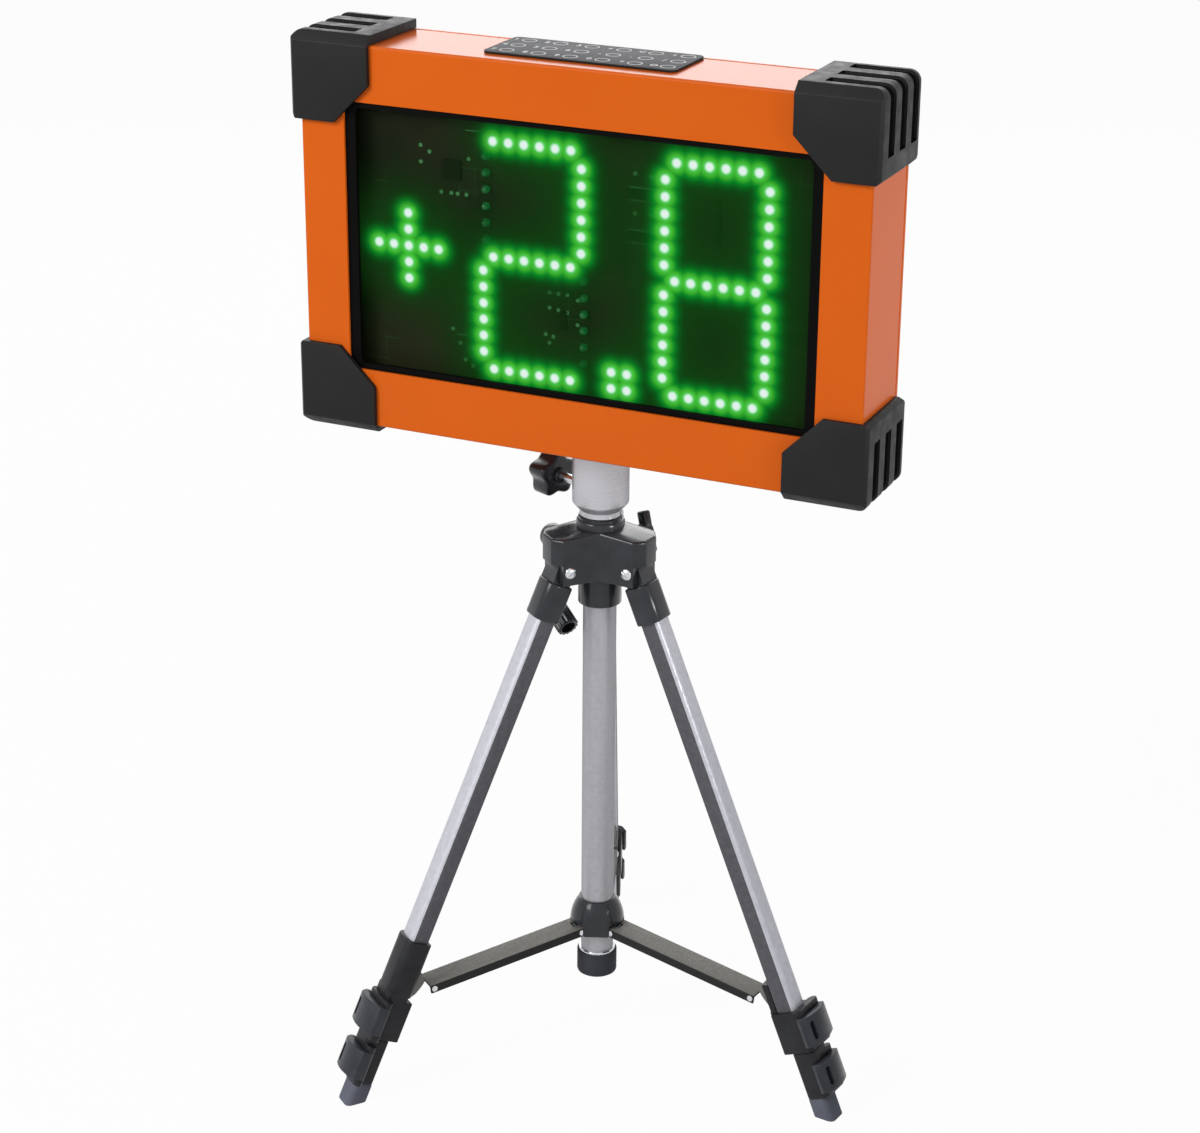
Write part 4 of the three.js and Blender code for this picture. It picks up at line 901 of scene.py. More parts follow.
PAD_INNER, PAD_OUTER, PAD_HALF, PAD_STEPS = 0.7, 1.3, 0.15, 12
PAD_PLACES = (
    (-88, -48), (-104, -62), (-98, -72), (-88, -74), (-80, -66), (-94, -84), (-88, -88),
    (-27, -25), (-20, -25), (-13, -25), (-5, -28), (-27, -36), (-20, -37), (-13, -38), (-5, -46),
    (-30, -56), (-24, -57), (-27, -62), (-112, 38), (-104, 38), (-99, 38), (-92, 38), (-128, 58),
    (-128, 70), (-121, 66), (-90, 64), (38, 68), (50, 67), (38, 40), (50, 40),
)
ROW_PLACES = ((34, 58, 14), (34, 49, 14), (34, 28, 14), (34, 19, 14), (-100, -66, 6), (-92, 84, 8))
ROW_PITCH, ROW_PROUD, ROW_WIDTH, ROW_HEIGHT = 1.4, 0.2, 0.6, 0.8
CHIP_PLACES = (
    (-103, 55, 14, 14), (44, 53.5, 21, 7), (44, 23.5, 21, 7), (-16, -44, 5, 14), (100, 40, 3, 34),
)
CHIP_PROUD = 1.4


def build_pads():
    bm = bmesh.new()
    ring = [(PAD_INNER, -PAD_HALF), (PAD_OUTER, -PAD_HALF), (PAD_OUTER, PAD_HALF), (PAD_INNER, PAD_HALF)]
    for x, z in PAD_PLACES:
        made = add_turned(bm, ring, PAD_STEPS)
        place = Matrix.Translation((x, BOARD_FRONT, HEAD_MIDDLE + z)) @ Matrix.Rotation(math.pi / 2, 4, "X")
        bmesh.ops.transform(bm, matrix=place, verts=made)
    for x, z, count in ROW_PLACES:
        for i in range(count):
            low = Vector((x + ROW_PITCH * i, BOARD_FRONT - ROW_PROUD, HEAD_MIDDLE + z))
            add_block(bm, low, low + Vector((ROW_WIDTH, ROW_PROUD, ROW_HEIGHT)))
    # The pads carry a painted green glow
    finish_piece(solid(bm), "solder_pads", "head", "solder", column_place(), ())


def build_chips():
    bm = bmesh.new()
    for x, z, wide, tall in CHIP_PLACES:
        level = HEAD_MIDDLE + z
        low = (x - wide / 2, BOARD_FRONT - CHIP_PROUD, level - tall / 2)
        add_block(bm, low, (x + wide / 2, BOARD_FRONT, level + tall / 2))
    finish_piece(solid(bm), "board_chips", "head", "chip_black", column_place(), ())


def build_lamps():
    banks = all_lamps()
    for node, lamps in banks.items():
        build_lamp_bank(node, lamps)
    build_glow([lamp for lamps in banks.values() for lamp in lamps])
    build_pads()
    build_chips()


# Keypad

KEY_COLUMNS, KEY_ROWS = 6, 3
KEYPAD_LEFT, KEYPAD_RIGHT = -78.5, 66.5
KEYPAD_NEAR, KEYPAD_FAR = -32.0, 22.0
KEYPAD_TOP = HEAD_TOP + 1.9
KEYPAD_CORNER, KEYPAD_EDGE = 5.0, 0.4
KEY_PITCH_X = (KEYPAD_RIGHT - KEYPAD_LEFT) / KEY_COLUMNS
KEY_PITCH_Y = (KEYPAD_FAR - KEYPAD_NEAR) / KEY_ROWS
KEY_MIDDLE_SHARE, LEGEND_SHARE, RING_SHARE = 0.5, 0.2, 0.62
RING_INNER, RING_OUTER, RING_SUNK, RING_PROUD = 4.7, 5.5, 0.05, 0.07
RING_STEPS, RING_SQUASH = 28, 0.87
LEGENDS = ("1", "2", "3", "+", "C", "I", "4", "5", "6", "-", ".", "/", "7", "8", "9", "0", "*", "O")
LEGEND_SIZE, LEGEND_DEPTH, LEGEND_GROWTH, LEGEND_LIFT = 7.2, 0.05, 0.12, 0.03


def key_place(index, share):
    """A place in one key's field, at a share of the field's width."""
    row, column = divmod(index, KEY_COLUMNS)
    return KEYPAD_LEFT + KEY_PITCH_X * (column + share), KEYPAD_FAR - KEY_PITCH_Y * (row + KEY_MIDDLE_SHARE)


def build_keypad():
    corners = [(KEYPAD_CORNER, range(4))]
    shape = rectangle(KEYPAD_LEFT, KEYPAD_RIGHT, KEYPAD_NEAR, KEYPAD_FAR)
    plate = round_edges(outline_piece(shape, HEAD_TOP, KEYPAD_TOP, corners), KEYPAD_EDGE, 2)
    mark_faces(plate, lambda middle, normal: normal.z <= UP_SHARE)
    finish_piece(
        plate, "keypad_plate", "head", ["keypad_film", "cap_black"], column_place(), ["keypad"],
    )
    build_rings()
    build_legends()


def build_rings():
    bm = bmesh.new()
    low, high = KEYPAD_TOP - RING_SUNK, KEYPAD_TOP + RING_PROUD
    profile = [(RING_INNER, low), (RING_OUTER, low), (RING_OUTER, high), (RING_INNER, high)]
    for index in range(len(LEGENDS)):
        ring = add_turned(bm, profile, RING_STEPS)
        bmesh.ops.scale(bm, verts=ring, vec=(1, RING_SQUASH, 1))
        bmesh.ops.translate(bm, verts=ring, vec=(*key_place(index, RING_SHARE), 0))
    finish_piece(solid(bm), "key_rings", "head", "white_print", column_place(), ())


def build_legends():
    """Small plain signs beside the key rings, joined in one piece."""
    bm = bmesh.new()
    for index, legend in enumerate(LEGENDS):
        text = bpy.data.curves.new("legend", "FONT")
        text.body = legend
        text.size = LEGEND_SIZE
        text.extrude = LEGEND_DEPTH
        text.offset = LEGEND_GROWTH
        text.align_x = "CENTER"
        text.align_y = "CENTER"
        holder = link_object("legend", text)
        bpy.context.view_layer.update()
        graph = bpy.context.evaluated_depsgraph_get()
        mesh = bpy.data.meshes.new_from_object(holder.evaluated_get(graph))
        mesh.transform(Matrix.Translation((*key_place(index, LEGEND_SHARE), KEYPAD_TOP + LEGEND_LIFT)))
        bm.from_mesh(mesh)
        bpy.data.objects.remove(holder)
        bpy.data.meshes.remove(mesh)
    finish_piece(solid(bm), "key_legends", "head", "white_print", column_place(), ())


# Sleeve, clamp knob and column

SLEEVE_PROFILE = (
    (14.3, 447.3), (16.2, 447.3), (16.7, 447.7), (20.6, 452.2), (21, 453), (21, 500), (16.8, 500),
    (16.8, 502.3), (17.5, 502.3), (17.5, 505.3), (14.3, 505.3),
)
COLUMN_PROFILE = (
    (9.3, 120), (10.5, 120), (10.9, 120.4), (10.9, 442.3), (15, 442.3), (15.5, 442.8), (15.5, 446.5),
    (15, 447), (14, 447), (14, 496.5), (13.5, 497), (9.3, 497),
)
KNOB_RADIUS, KNOB_HOLLOW, KNOB_LOBES, KNOB_POINTS = 18.0, 4.2, 5, 80
KNOB_DEPTH, KNOB_EDGE = 17.0, 2.6
KNOB_HUB_RADIUS, KNOB_HUB_START, KNOB_HUB_END, KNOB_HUB_EDGE = 5.8, -3.0, 8.0, 1.0
KNOB_DISH = ((0, 15), (6, 15), (7.5, 19), (0, 19))
CLAMP_OUT, CLAMP_HEIGHT, CLAMP_SPIN = 44.5, 460.0, 20.0
CLAMP_STUD_RADIUS, CLAMP_STUD_START, CLAMP_STUD_END, CLAMP_STUD_EDGE = 3.5, -30.0, 1.0, 0.3


def build_sleeve():
    finish_piece(
        turned_piece(SLEEVE_PROFILE), "sleeve", "head", "turned_metal", column_place(), ["mount_sleeve"],
    )


def build_column():
    finish_piece(
        turned_piece(COLUMN_PROFILE), "column_tube", "column", "turned_metal", column_place(),
        ["centre_column"],
    )


def lobed_points(radius, depth, lobes, count):
    points = []
    for i in range(count):
        angle = 2 * math.pi * i / count
        reach = radius - depth * (1 - math.cos(lobes * angle)) / 2
        points.append((reach * math.cos(angle), reach * math.sin(angle)))
    return points


def build_clamp():
    azimuth = bpy.context.scene.tripod_sizes.clamp_azimuth
    knob = outline_piece(lobed_points(KNOB_RADIUS, KNOB_HOLLOW, KNOB_LOBES, KNOB_POINTS), 0, KNOB_DEPTH)
    round_edges(knob, KNOB_EDGE, 4, 50)
    hub = upright_rod(KNOB_HUB_RADIUS, KNOB_HUB_START, KNOB_HUB_END)
    weld(knob, round_edges(hub, KNOB_HUB_EDGE, 2))
    carve(knob, turned_piece(KNOB_DISH, SMALL_ROUND))
    place = out_place(azimuth, CLAMP_OUT, 0, CLAMP_HEIGHT, CLAMP_SPIN)
    finish_piece(knob, "clamp_handle", "clamp", "moulded_black", place, ["clamp_knob"])
    stud = upright_rod(CLAMP_STUD_RADIUS, CLAMP_STUD_START, CLAMP_STUD_END)
    round_edges(stud, CLAMP_STUD_EDGE, 1)
    finish_piece(stud, "clamp_stud", "clamp", "bright_steel", place, ())


# Crown of the tripod

CANOPY_WIDTH, CANOPY_SHOULDER, CANOPY_VALLEY = 15.5, 38.0, 19.5
CANOPY_NOSE, CANOPY_NOSE_HALF = 44.0, 7.0
CANOPY_BASE, CANOPY_RIM = 396.0, 432.8
CANOPY_STEP, CANOPY_DOME, CANOPY_EDGE = 1.2, 1.6, 1.0
CANOPY_SHARE, CANOPY_FALL = 0.56, 0.09
CANOPY_SMOOTH = 28
COLLAR_RADIUS, COLLAR_BASE, COLLAR_TOP, COLLAR_EDGE = 16.3, 373.0, 398.0, 0.8
LOCK_BOSS_RADIUS, LOCK_BOSS_REACH, LOCK_HEIGHT = 8.0, 27.0, 421.0
GUIDE_HOLE, GUIDE_HOLE_BASE, GUIDE_HOLE_TOP = 12.8, 370.0, 408.5
COLUMN_HOLE, COLUMN_HOLE_BASE, COLUMN_HOLE_TOP = 11.4, 400.0, 440.0
LEG_SLOT = ((21.0, -9.7, 390.0), (41.0, 9.7, 417.0))
NOSE_CUT = ((38.0, -20.0, 390.0), (50.0, 20.0, 412.0))
BUSHING_PROFILE = (
    (11.2, 432), (18, 432), (18, 437.5), (17.2, 439), (16.4, 439.4), (16.4, 441.4), (15.8, 442),
    (11.2, 442),
)
GUIDE_PROFILE = ((11.2, 64), (12.5, 64), (12.5, 408), (11.2, 408))
GUIDE_RING_PROFILE = ((12.5, 79), (14.2, 79), (14.2, 80.4), (13.6, 81), (12.5, 81))
END_CAP_PROFILE = (
    (0, 60), (14.2, 60), (15.1, 60.6), (15.4, 61.6), (15.4, 78.4), (14.9, 79), (12.9, 79), (12.9, 64),
    (0, 64),
)
SCREW_HEAD = ((2.5, 14.3), (4.6, 14.3), (4.8, 14.9), (4.3, 16), (3, 16.9), (1.4, 17.2), (0, 17.3))
SLOT_HALF, SLOT_REACH, SLOT_DEPTH, SLOT_FLOORS, SCREW_TURN = 0.5, 6.0, 3.0, (16.3, -19.3), 35.0
WING_OUTLINE = ((5.4, 16), (-6, 15.6), (-5.2, 3), (-6, -15.6), (5.4, -16), (5.6, -3))
WING_DEPTH, WING_CORNER, WING_EDGE = 6.0, 2.0, 1.2
WING_HUB_RADIUS, WING_HUB_START, WING_HUB_EDGE = 6.5, -8.7, 0.8
WING_OUT, WING_SPIN = 36.0, -26.0
WING_STUD_RADIUS, WING_STUD_START, WING_STUD_END = 3.0, -24.5, -8.0


def star_outline():
    """The canopy's outline: a nose and two shoulders at each leg, and a valley between the legs."""
    points = []
    for azimuth in LEG_AZIMUTHS.values():
        arm = math.radians(azimuth)
        before = arm - math.pi / 3
        points.append((CANOPY_VALLEY * math.cos(before), CANOPY_VALLEY * math.sin(before)))
        for out, side in (
            (CANOPY_SHOULDER, -CANOPY_WIDTH), (CANOPY_NOSE, -CANOPY_NOSE_HALF),
            (CANOPY_NOSE, CANOPY_NOSE_HALF), (CANOPY_SHOULDER, CANOPY_WIDTH),
        ):
            points.append((
                out * math.cos(arm) - side * math.sin(arm),
                out * math.sin(arm) + side * math.cos(arm),
            ))
    return points


def canopy_shell():
    """The star, whose top falls outward and rises in a step and then to a low dome."""
    bm = bmesh.new()
    add_outline(bm, star_outline(), CANOPY_BASE, CANOPY_RIM)
    top = next(f for f in bm.faces if all(v.co.z > CANOPY_BASE + OVERRUN for v in f.verts))
    for vert in top.verts:
        vert.co.z -= CANOPY_FALL * (math.hypot(vert.co.x, vert.co.y) - CANOPY_VALLEY)
    bmesh.ops.inset_region(bm, faces=[top], thickness=CANOPY_STEP, depth=0)
    bmesh.ops.translate(bm, verts=top.verts[:], vec=(0, 0, CANOPY_STEP))
    raised = bmesh.ops.extrude_face_region(bm, geom=[top])
    bmesh.ops.delete(bm, geom=[top], context="FACES_ONLY")
    ridge = [g for g in raised["geom"] if isinstance(g, bmesh.types.BMVert)]
    bmesh.ops.scale(bm, verts=ridge, vec=(CANOPY_SHARE, CANOPY_SHARE, 1))
    bmesh.ops.translate(bm, verts=ridge, vec=(0, 0, CANOPY_DOME))
    return round_edges(solid(bm), CANOPY_EDGE, 3, 22)


def canopy_bosses():
    """The collar round the guide tube, and the seats of the column lock and the crank."""
    sizes = bpy.context.scene.tripod_sizes
    profile = [(0, COLLAR_BASE), (COLLAR_RADIUS, COLLAR_BASE), (COLLAR_RADIUS, COLLAR_TOP), (0, COLLAR_TOP)]
    collar = round_edges(turned_piece(profile), COLLAR_EDGE, 2)
    lock = rod_piece(LOCK_BOSS_RADIUS, (0, 0, LOCK_HEIGHT), (LOCK_BOSS_REACH, 0, LOCK_HEIGHT))
    crank = rod_piece(CRANK_DISC, (0, CRANK_SIDE, CRANK_HEIGHT), (CRANK_BOSS, CRANK_SIDE, CRANK_HEIGHT))
    return collar, turn_piece(lock, sizes.wing_azimuth), turn_piece(crank, sizes.crank_azimuth)


def build_canopy():
    crown = weld(canopy_shell(), *canopy_bosses())
    cutters = [
        upright_rod(GUIDE_HOLE, GUIDE_HOLE_BASE, GUIDE_HOLE_TOP, ROUND),
        upright_rod(COLUMN_HOLE, COLUMN_HOLE_BASE, COLUMN_HOLE_TOP, ROUND),
    ]
    for azimuth in LEG_AZIMUTHS.values():
        cutters += [turned_block(*LEG_SLOT, azimuth), turned_block(*NOSE_CUT, azimuth)]
    carve(crown, *cutters)
    finish_piece(
        crown, "crown_body", "crown", "moulded_black", column_place(), ["canopy"],
        CANOPY_SMOOTH,
    )
    finish_piece(
        turned_piece(BUSHING_PROFILE), "bushing", "crown", "moulded_black", column_place(),
        ["column_bushing"],
    )


def build_guide():
    for profile, name, finish, nodes, slot in (
        (GUIDE_PROFILE, "guide", "drawn_metal", ["guide_tube"], "aluminium"),
        (GUIDE_RING_PROFILE, "guide_ring", "bright_steel", (), "bright_steel"),
        (END_CAP_PROFILE, "guide_end_cap", "grey_rubber", ["end_cap"], "grey_rubber"),
    ):
        finish_piece(turned_piece(profile), name, "crown", finish, column_place(), nodes)


def build_pivots():
    """Each screw is one turned shape with a slotted head at both ends."""
    profile = [(radius, -height) for radius, height in reversed(SCREW_HEAD)] + list(SCREW_HEAD)
    lay = Matrix.Translation((PIVOT_RADIUS, 0, PIVOT_HEIGHT)) @ Matrix.Rotation(math.radians(-90), 4, "X")
    for name, azimuth in LEG_AZIMUTHS.items():
        screw = turned_piece(profile, SMALL_ROUND)
        slots = []
        for start in SLOT_FLOORS:
            high = (SLOT_REACH, SLOT_HALF, start + SLOT_DEPTH)
            slots.append(turned_block((-SLOT_REACH, -SLOT_HALF, start), high, SCREW_TURN))
        carve(screw, *slots)
        finish_piece(
            screw, "pivot_screw_" + name, "crown", "bright_steel", column_place(azimuth) @ lay,
            ["pivot_bolt_" + name],
        )


def build_lock_wing():
    azimuth = bpy.context.scene.tripod_sizes.wing_azimuth
    blade = outline_piece(WING_OUTLINE, 0, WING_DEPTH, [(WING_CORNER, (0, 1, 3, 4))], 4)
    round_edges(blade, WING_EDGE, 3, 40)
    hub = upright_rod(WING_HUB_RADIUS, WING_HUB_START, WING_DEPTH)
    weld(blade, round_edges(hub, WING_HUB_EDGE, 2))
    place = out_place(azimuth, WING_OUT, 0, LOCK_HEIGHT, WING_SPIN)
    finish_piece(
        blade, "lock_handle", "lock_wing", "moulded_black", place, ["column_lock_wing"],
    )
    stud = upright_rod(WING_STUD_RADIUS, WING_STUD_START, WING_STUD_END)
    finish_piece(stud, "lock_stud", "lock_wing", "bright_steel", place, ())


# Crank and its grip, about the crank's azimuth

CRANK_SIDE, CRANK_HEIGHT, CRANK_BOSS = 19.0, 416.0, 31.0
CRANK_ROOT = Vector((51.1, 13.0, 359.0))
CRANK_DISC, CRANK_DISC_DEPTH, CRANK_DISC_EDGE = 9.5, 9.0, 1.6
CRANK_ARM, CRANK_ELBOW = 4.2, 4.8
CRANK_SHAFT, CRANK_SHAFT_START, CRANK_SHAFT_LAP = 3.0, 14.0, 2.0
FORK_RADIUS, FORK_HALF, FORK_EDGE = 6.0, 6.5, 0.6
FORK_SLOT_RADIUS, FORK_SLOT_HALF = 6.4, 3.5
GRIP_RADIUS, GRIP_FLUTE, GRIP_FLUTES, GRIP_POINTS = 8.6, 0.9, 14, 112
GRIP_START, GRIP_END, GRIP_EDGE = 6.3, 31.0, 0.8
GRIP_BORE, GRIP_BORE_FLOOR = 5.6, 19.0
TONGUE_RADIUS, TONGUE_HALF = 5.7, 3.2
GRIP_NECK, GRIP_NECK_START, GRIP_NECK_END = 3.2, 2.0, 8.0


def cross_rod(radius, middle, half):
    """A bar along Y, as far to both sides of its middle."""
    along = Vector((0, half, 0))
    return rod_piece(radius, Vector(middle) - along, Vector(middle) + along)


def build_crank():
    azimuth = bpy.context.scene.tripod_sizes.crank_azimuth
    start = CRANK_BOSS + GAP
    disc = rod_piece(
        CRANK_DISC, (start, CRANK_SIDE, CRANK_HEIGHT), (start + CRANK_DISC_DEPTH, CRANK_SIDE, CRANK_HEIGHT),
    )
    round_edges(disc, CRANK_DISC_EDGE, 3)
    arm = rod_piece(CRANK_ARM, (start + CRANK_ELBOW, CRANK_SIDE, CRANK_HEIGHT), CRANK_ROOT)
    fork = round_edges(cross_rod(FORK_RADIUS, CRANK_ROOT, FORK_HALF), FORK_EDGE, 2)
    shaft = rod_piece(
        CRANK_SHAFT, (CRANK_SHAFT_START, CRANK_SIDE, CRANK_HEIGHT),
        (start + CRANK_SHAFT_LAP, CRANK_SIDE, CRANK_HEIGHT),
    )
    weld(disc, arm, fork, shaft)
    carve(disc, cross_rod(FORK_SLOT_RADIUS, CRANK_ROOT, FORK_SLOT_HALF))
    finish_piece(
        disc, "crank_lever", "crank", "moulded_black", column_place(azimuth), ["crank_arm"],
    )
    build_grip(azimuth)


def grip_place(azimuth):
    """The grip's own frame, folded in toward the guide tube: X along its pin, Z along the grip."""
    tilt = math.radians(bpy.context.scene.tripod_sizes.grip_tilt)
    along = Vector((-math.cos(tilt), 0, -math.sin(tilt)))
    pin = Vector((0, 1, 0))
    turn = Matrix((pin, along.cross(pin), along)).transposed().to_4x4()
    return column_place(azimuth) @ Matrix.Translation(CRANK_ROOT) @ turn


def build_grip(azimuth):
    shape = lobed_points(GRIP_RADIUS, GRIP_FLUTE, GRIP_FLUTES, GRIP_POINTS)
    body = round_edges(outline_piece(shape, GRIP_START, GRIP_END), GRIP_EDGE, 2, 60)
    tongue = rod_piece(TONGUE_RADIUS, (-TONGUE_HALF, 0, 0), (TONGUE_HALF, 0, 0))
    weld(body, tongue, upright_rod(GRIP_NECK, GRIP_NECK_START, GRIP_NECK_END))
    carve(body, upright_rod(GRIP_BORE, GRIP_BORE_FLOOR, GRIP_END + OVERRUN))
    finish_piece(
        body, "crank_handle", "grip", "moulded_black", grip_place(azimuth), ["crank_grip"],
    )


# Spreader

HUB_PROFILE = (
    (12.8, 97.5), (20.4, 97.5), (21, 98.1), (21, 106), (20.6, 110), (19.6, 114), (18, 118), (16.2, 121.4),
    (14.8, 123.4), (14.2, 124.6), (13.4, 125), (12.8, 125),
)
HUB_SLOT = ((10.8, -11.2, 92.0), (23.0, 11.2, 107.3))
HUB_ARCH_RADIUS, HUB_ARCH_INNER, HUB_ARCH_OUTER, HUB_ARCH_HEIGHT = 8.6, 18.4, 24.0, 108.5
HUB_RECESS = ((18.4, -8.6, 92.0), (24.0, 8.6, 108.4))
HUB_WEB = ((12.9, -3.0, 101.0), (18.2, 3.0, 109.0))
HUB_EYE, HUB_EYE_HALF = 3.3, 3.0
HUB_SMOOTH = 30
HUB_PIVOT, HUB_LEVEL = 18.2, 101.0
BRACE, OPEN_PIVOT = 339.15, 27.0
ARM_HALF, ARM_TALL, ARM_SHEET = 10.2, 3.3, 1.2
ARM_OVER, ARM_SKIRT, ARM_EDGE = 3.2, 1.0, 0.9
ARM_CUT, ARM_CUT_DEPTH = 2.0, 3.0
ARM_NOTCH_HALF = 3.3
RIVET_PROFILE = ((0, 0), (2.5, 0), (2.3, 0.6), (1.5, 1.0), (0, 1.2))
RIVET_PIN, RIVET_PIN_STEPS, RIVET_LAP = 1.6, 16, 0.4


def build_hub():
    hub = turned_piece(HUB_PROFILE)
    cutters, webs = [], []
    for azimuth in LEG_AZIMUTHS.values():
        between = azimuth + 60
        arch = rod_piece(
            HUB_ARCH_RADIUS, (HUB_ARCH_INNER, 0, HUB_ARCH_HEIGHT), (HUB_ARCH_OUTER, 0, HUB_ARCH_HEIGHT),
        )
        cutters += [turned_block(*HUB_SLOT, azimuth), turn_piece(arch, between)]
        cutters.append(turned_block(*HUB_RECESS, between))
        eye = cross_rod(HUB_EYE, (HUB_PIVOT, 0, HUB_LEVEL), HUB_EYE_HALF)
        webs += [turned_block(*HUB_WEB, azimuth), turn_piece(eye, azimuth)]
    weld(carve(hub, *cutters), *webs)
    finish_piece(
        hub, "hub_body", "hub", "moulded_black", column_place(), ["spreader_hub"],
        HUB_SMOOTH,
    )


def arm_geometry():
    """The arm's length and its slope, from the hub's pivot and the brace's place on the leg."""
    splay = math.radians(bpy.context.scene.tripod_sizes.splay_degrees)
    out = PIVOT_RADIUS + BRACE * math.sin(splay) - OPEN_PIVOT * math.cos(splay) - HUB_PIVOT
    fall = HUB_LEVEL - (PIVOT_HEIGHT - BRACE * math.cos(splay) - OPEN_PIVOT * math.sin(splay))
    return math.hypot(out, fall), math.atan2(fall, out)


def arm_channel(length):
    """A folded channel, open below, with a notch for the hub's eye."""
    end = length + ARM_OVER
    start = -ARM_TALL - ARM_CUT
    floor = -ARM_TALL - ARM_CUT_DEPTH
    low = (-ARM_TALL, -ARM_HALF, -ARM_TALL - ARM_SKIRT)
    channel = rounded_block(low, (end, ARM_HALF, ARM_TALL), ARM_EDGE)
    inner = block_piece(
        (start, ARM_SHEET - ARM_HALF, floor), (end + ARM_CUT, ARM_HALF - ARM_SHEET, ARM_TALL - ARM_SHEET),
    )
    below = block_piece((start, -ARM_HALF - ARM_CUT, floor), (end + ARM_CUT, ARM_HALF + ARM_CUT, -ARM_TALL))
    notch = block_piece((start, -ARM_NOTCH_HALF, start), (ARM_TALL + GAP, ARM_NOTCH_HALF, ARM_TALL + ARM_CUT))
    return carve(channel, inner, below, notch)


def arm_rivets(length):
    """The hub's pin and the four rivet heads."""
    reach = ARM_HALF - RIVET_LAP
    heads = []
    for side in (-1, 1):
        for x in (0, length):
            rivet = turned_piece(RIVET_PROFILE, FINE_ROUND)
            turn = Matrix.Rotation(math.radians(-90 * side), 4, "X")
            rivet.data.transform(Matrix.Translation((x, side * reach, 0)) @ turn)
            heads.append(rivet)
    return weld(rod_piece(RIVET_PIN, (0, -reach, 0), (0, reach, 0), RIVET_PIN_STEPS), *heads)


def build_arm(name):
    length, slope = arm_geometry()
    place = column_place(LEG_AZIMUTHS[name]) @ Matrix.Translation((HUB_PIVOT, 0, HUB_LEVEL))
    place = place @ Matrix.Rotation(slope, 4, "Y")
    channel = mark_faces(arm_channel(length), lambda middle, normal: normal.z < SIDE_SHARE)
    finish_piece(
        channel, "brace_arm_" + name, "arm_" + name, ["arm_grey", "arm_black"], place,
        ["spreader_arm_" + name],
    )
    finish_piece(
        arm_rivets(length), "brace_rivets_" + name, "arm_" + name, "bright_steel", place, (),
    )


# Legs: distances run down the leg from its pivot, and index 0 is the upper lock and 1 the lower one

LOCK_CORNERS = [(LEG_OUTER_CORNER, (0, 3)), (LEG_INNER_CORNER, (1, 2))]
SHARPEST = 0.5
SOCKET_WALL, SOCKET_TOP, SOCKET_BOTTOM, SOCKET_EDGE = 2.7, 12.0, 41.0, 1.2
NECK_HALF, NECK_LENGTH, KNUCKLE_RADIUS, KNUCKLE_EDGE = 9.4, 20.0, 8.0, 0.6
PIVOT_HOLE = 2.8
TUBE_RUNS = (
    (0, "upper", "leg_", 14.3, 384.3), (1, "middle", "middle_", 45.0, 422.3),
    (2, "lower", "lower_", 65.0, 429.2),
)
LOCK_TOPS = (353.6, 391.6)
LOCK_LENGTH, LOCK_FLOOR, LOCK_EDGE = 33.0, 2.0, 0.9
LOCK_INWARD, LOCK_OUTWARD, LOCK_WALL = (5.0, 0.0), 6.0, 3.0
LOCK_HEAD, LOCK_BORE_RISE = (0.0, 4.4), (80.0, 6.4)
HINGE_OUT, HINGE_SIDE = 2.4, 5.1
HINGE_RADIUS, HINGE_HEIGHT, HINGE_EDGE, HINGE_ROOM = 3.6, 4.5, 0.4, 4.1
BLOCK_LOW, BLOCK_HIGH, BLOCK_EDGE = (-13.4, -9.6, -20.0), (-7.8, 9.6, 9.0), 1.2
SEAT_LOW, SEAT_HIGH = (-13.4, -9.6, -24.0), (2.0, 9.6, -13.0)
BAND_WALL, BAND_RISE, BAND_FALL, BAND_EDGE = 2.9, 34.0, 11.0, 0.9
JOINT_SHAPE, JOINT_BOTTOM, JOINT_TOP = (-7.5, 10.1, -12.1, 12.1), 17.0, 8.0
LUG_OUTLINE = (
    (-7.9, -11), (-10.4, -11), (-13.2, -8), (-15, -4), (-16.4, 0), (-17.3, 4), (-12, 10), (-7.9, 12.6),
)
LUG_HALF, LUG_EDGE = 9.0, 0.6
LEVER_INNER, LEVER_TOP, LEVER_BOTTOM, LEVER_EDGE = 6.5, 4.8, 28.2, 0.9
LEVER_HOOK = ((0, 1.5), (-3.6, -0.6), (-3.2, -2.4), (0, -3.2))
LEVER_SHARES = (0.1, 0.25, 0.4, 0.55, 0.7, 0.85, 1.0)
LEVER_THIN, LEVER_BOW, BOW_START_SHARE, BOW_SPAN_SHARE = 1.2, 6.0, 0.12, 0.8
DENT_SHAPE, DENT_DEPTH, DENT_CORNER = (-2.0, 2.0, -7.5, 7.5), 8.0, 1.9
DENT_OUT, DENT_SIDE = 2.6, 3.8
FOOT_WALL, FOOT_TOP, FOOT_SPARE, FOOT_EDGE = 2.9, 424.9, 14.0, 1.6
FOOT_BORE_TOP, FOOT_SOLE = 420.0, 13.7


def half_section(index):
    """Half the depth and half the width of a leg tube."""
    return LEG_HALF_DEPTH - index * LEG_STEP, LEG_HALF_WIDTH - index * LEG_STEP


def leg_prism(index, margin, top, bottom):
    """A stretch of a leg, flat inside and rounded outside, between two distances down from its pivot."""
    deep, wide = (half + margin for half in half_section(index))
    grown = margin - index * LEG_STEP
    outer = max(LEG_OUTER_CORNER + grown, SHARPEST)
    inner = max(LEG_INNER_CORNER + grown, SHARPEST)
    corners = [(outer, (0, 3)), (inner, (1, 2))]
    return outline_piece(rectangle(-deep, deep, -wide, wide), -bottom, -top, corners, 6)


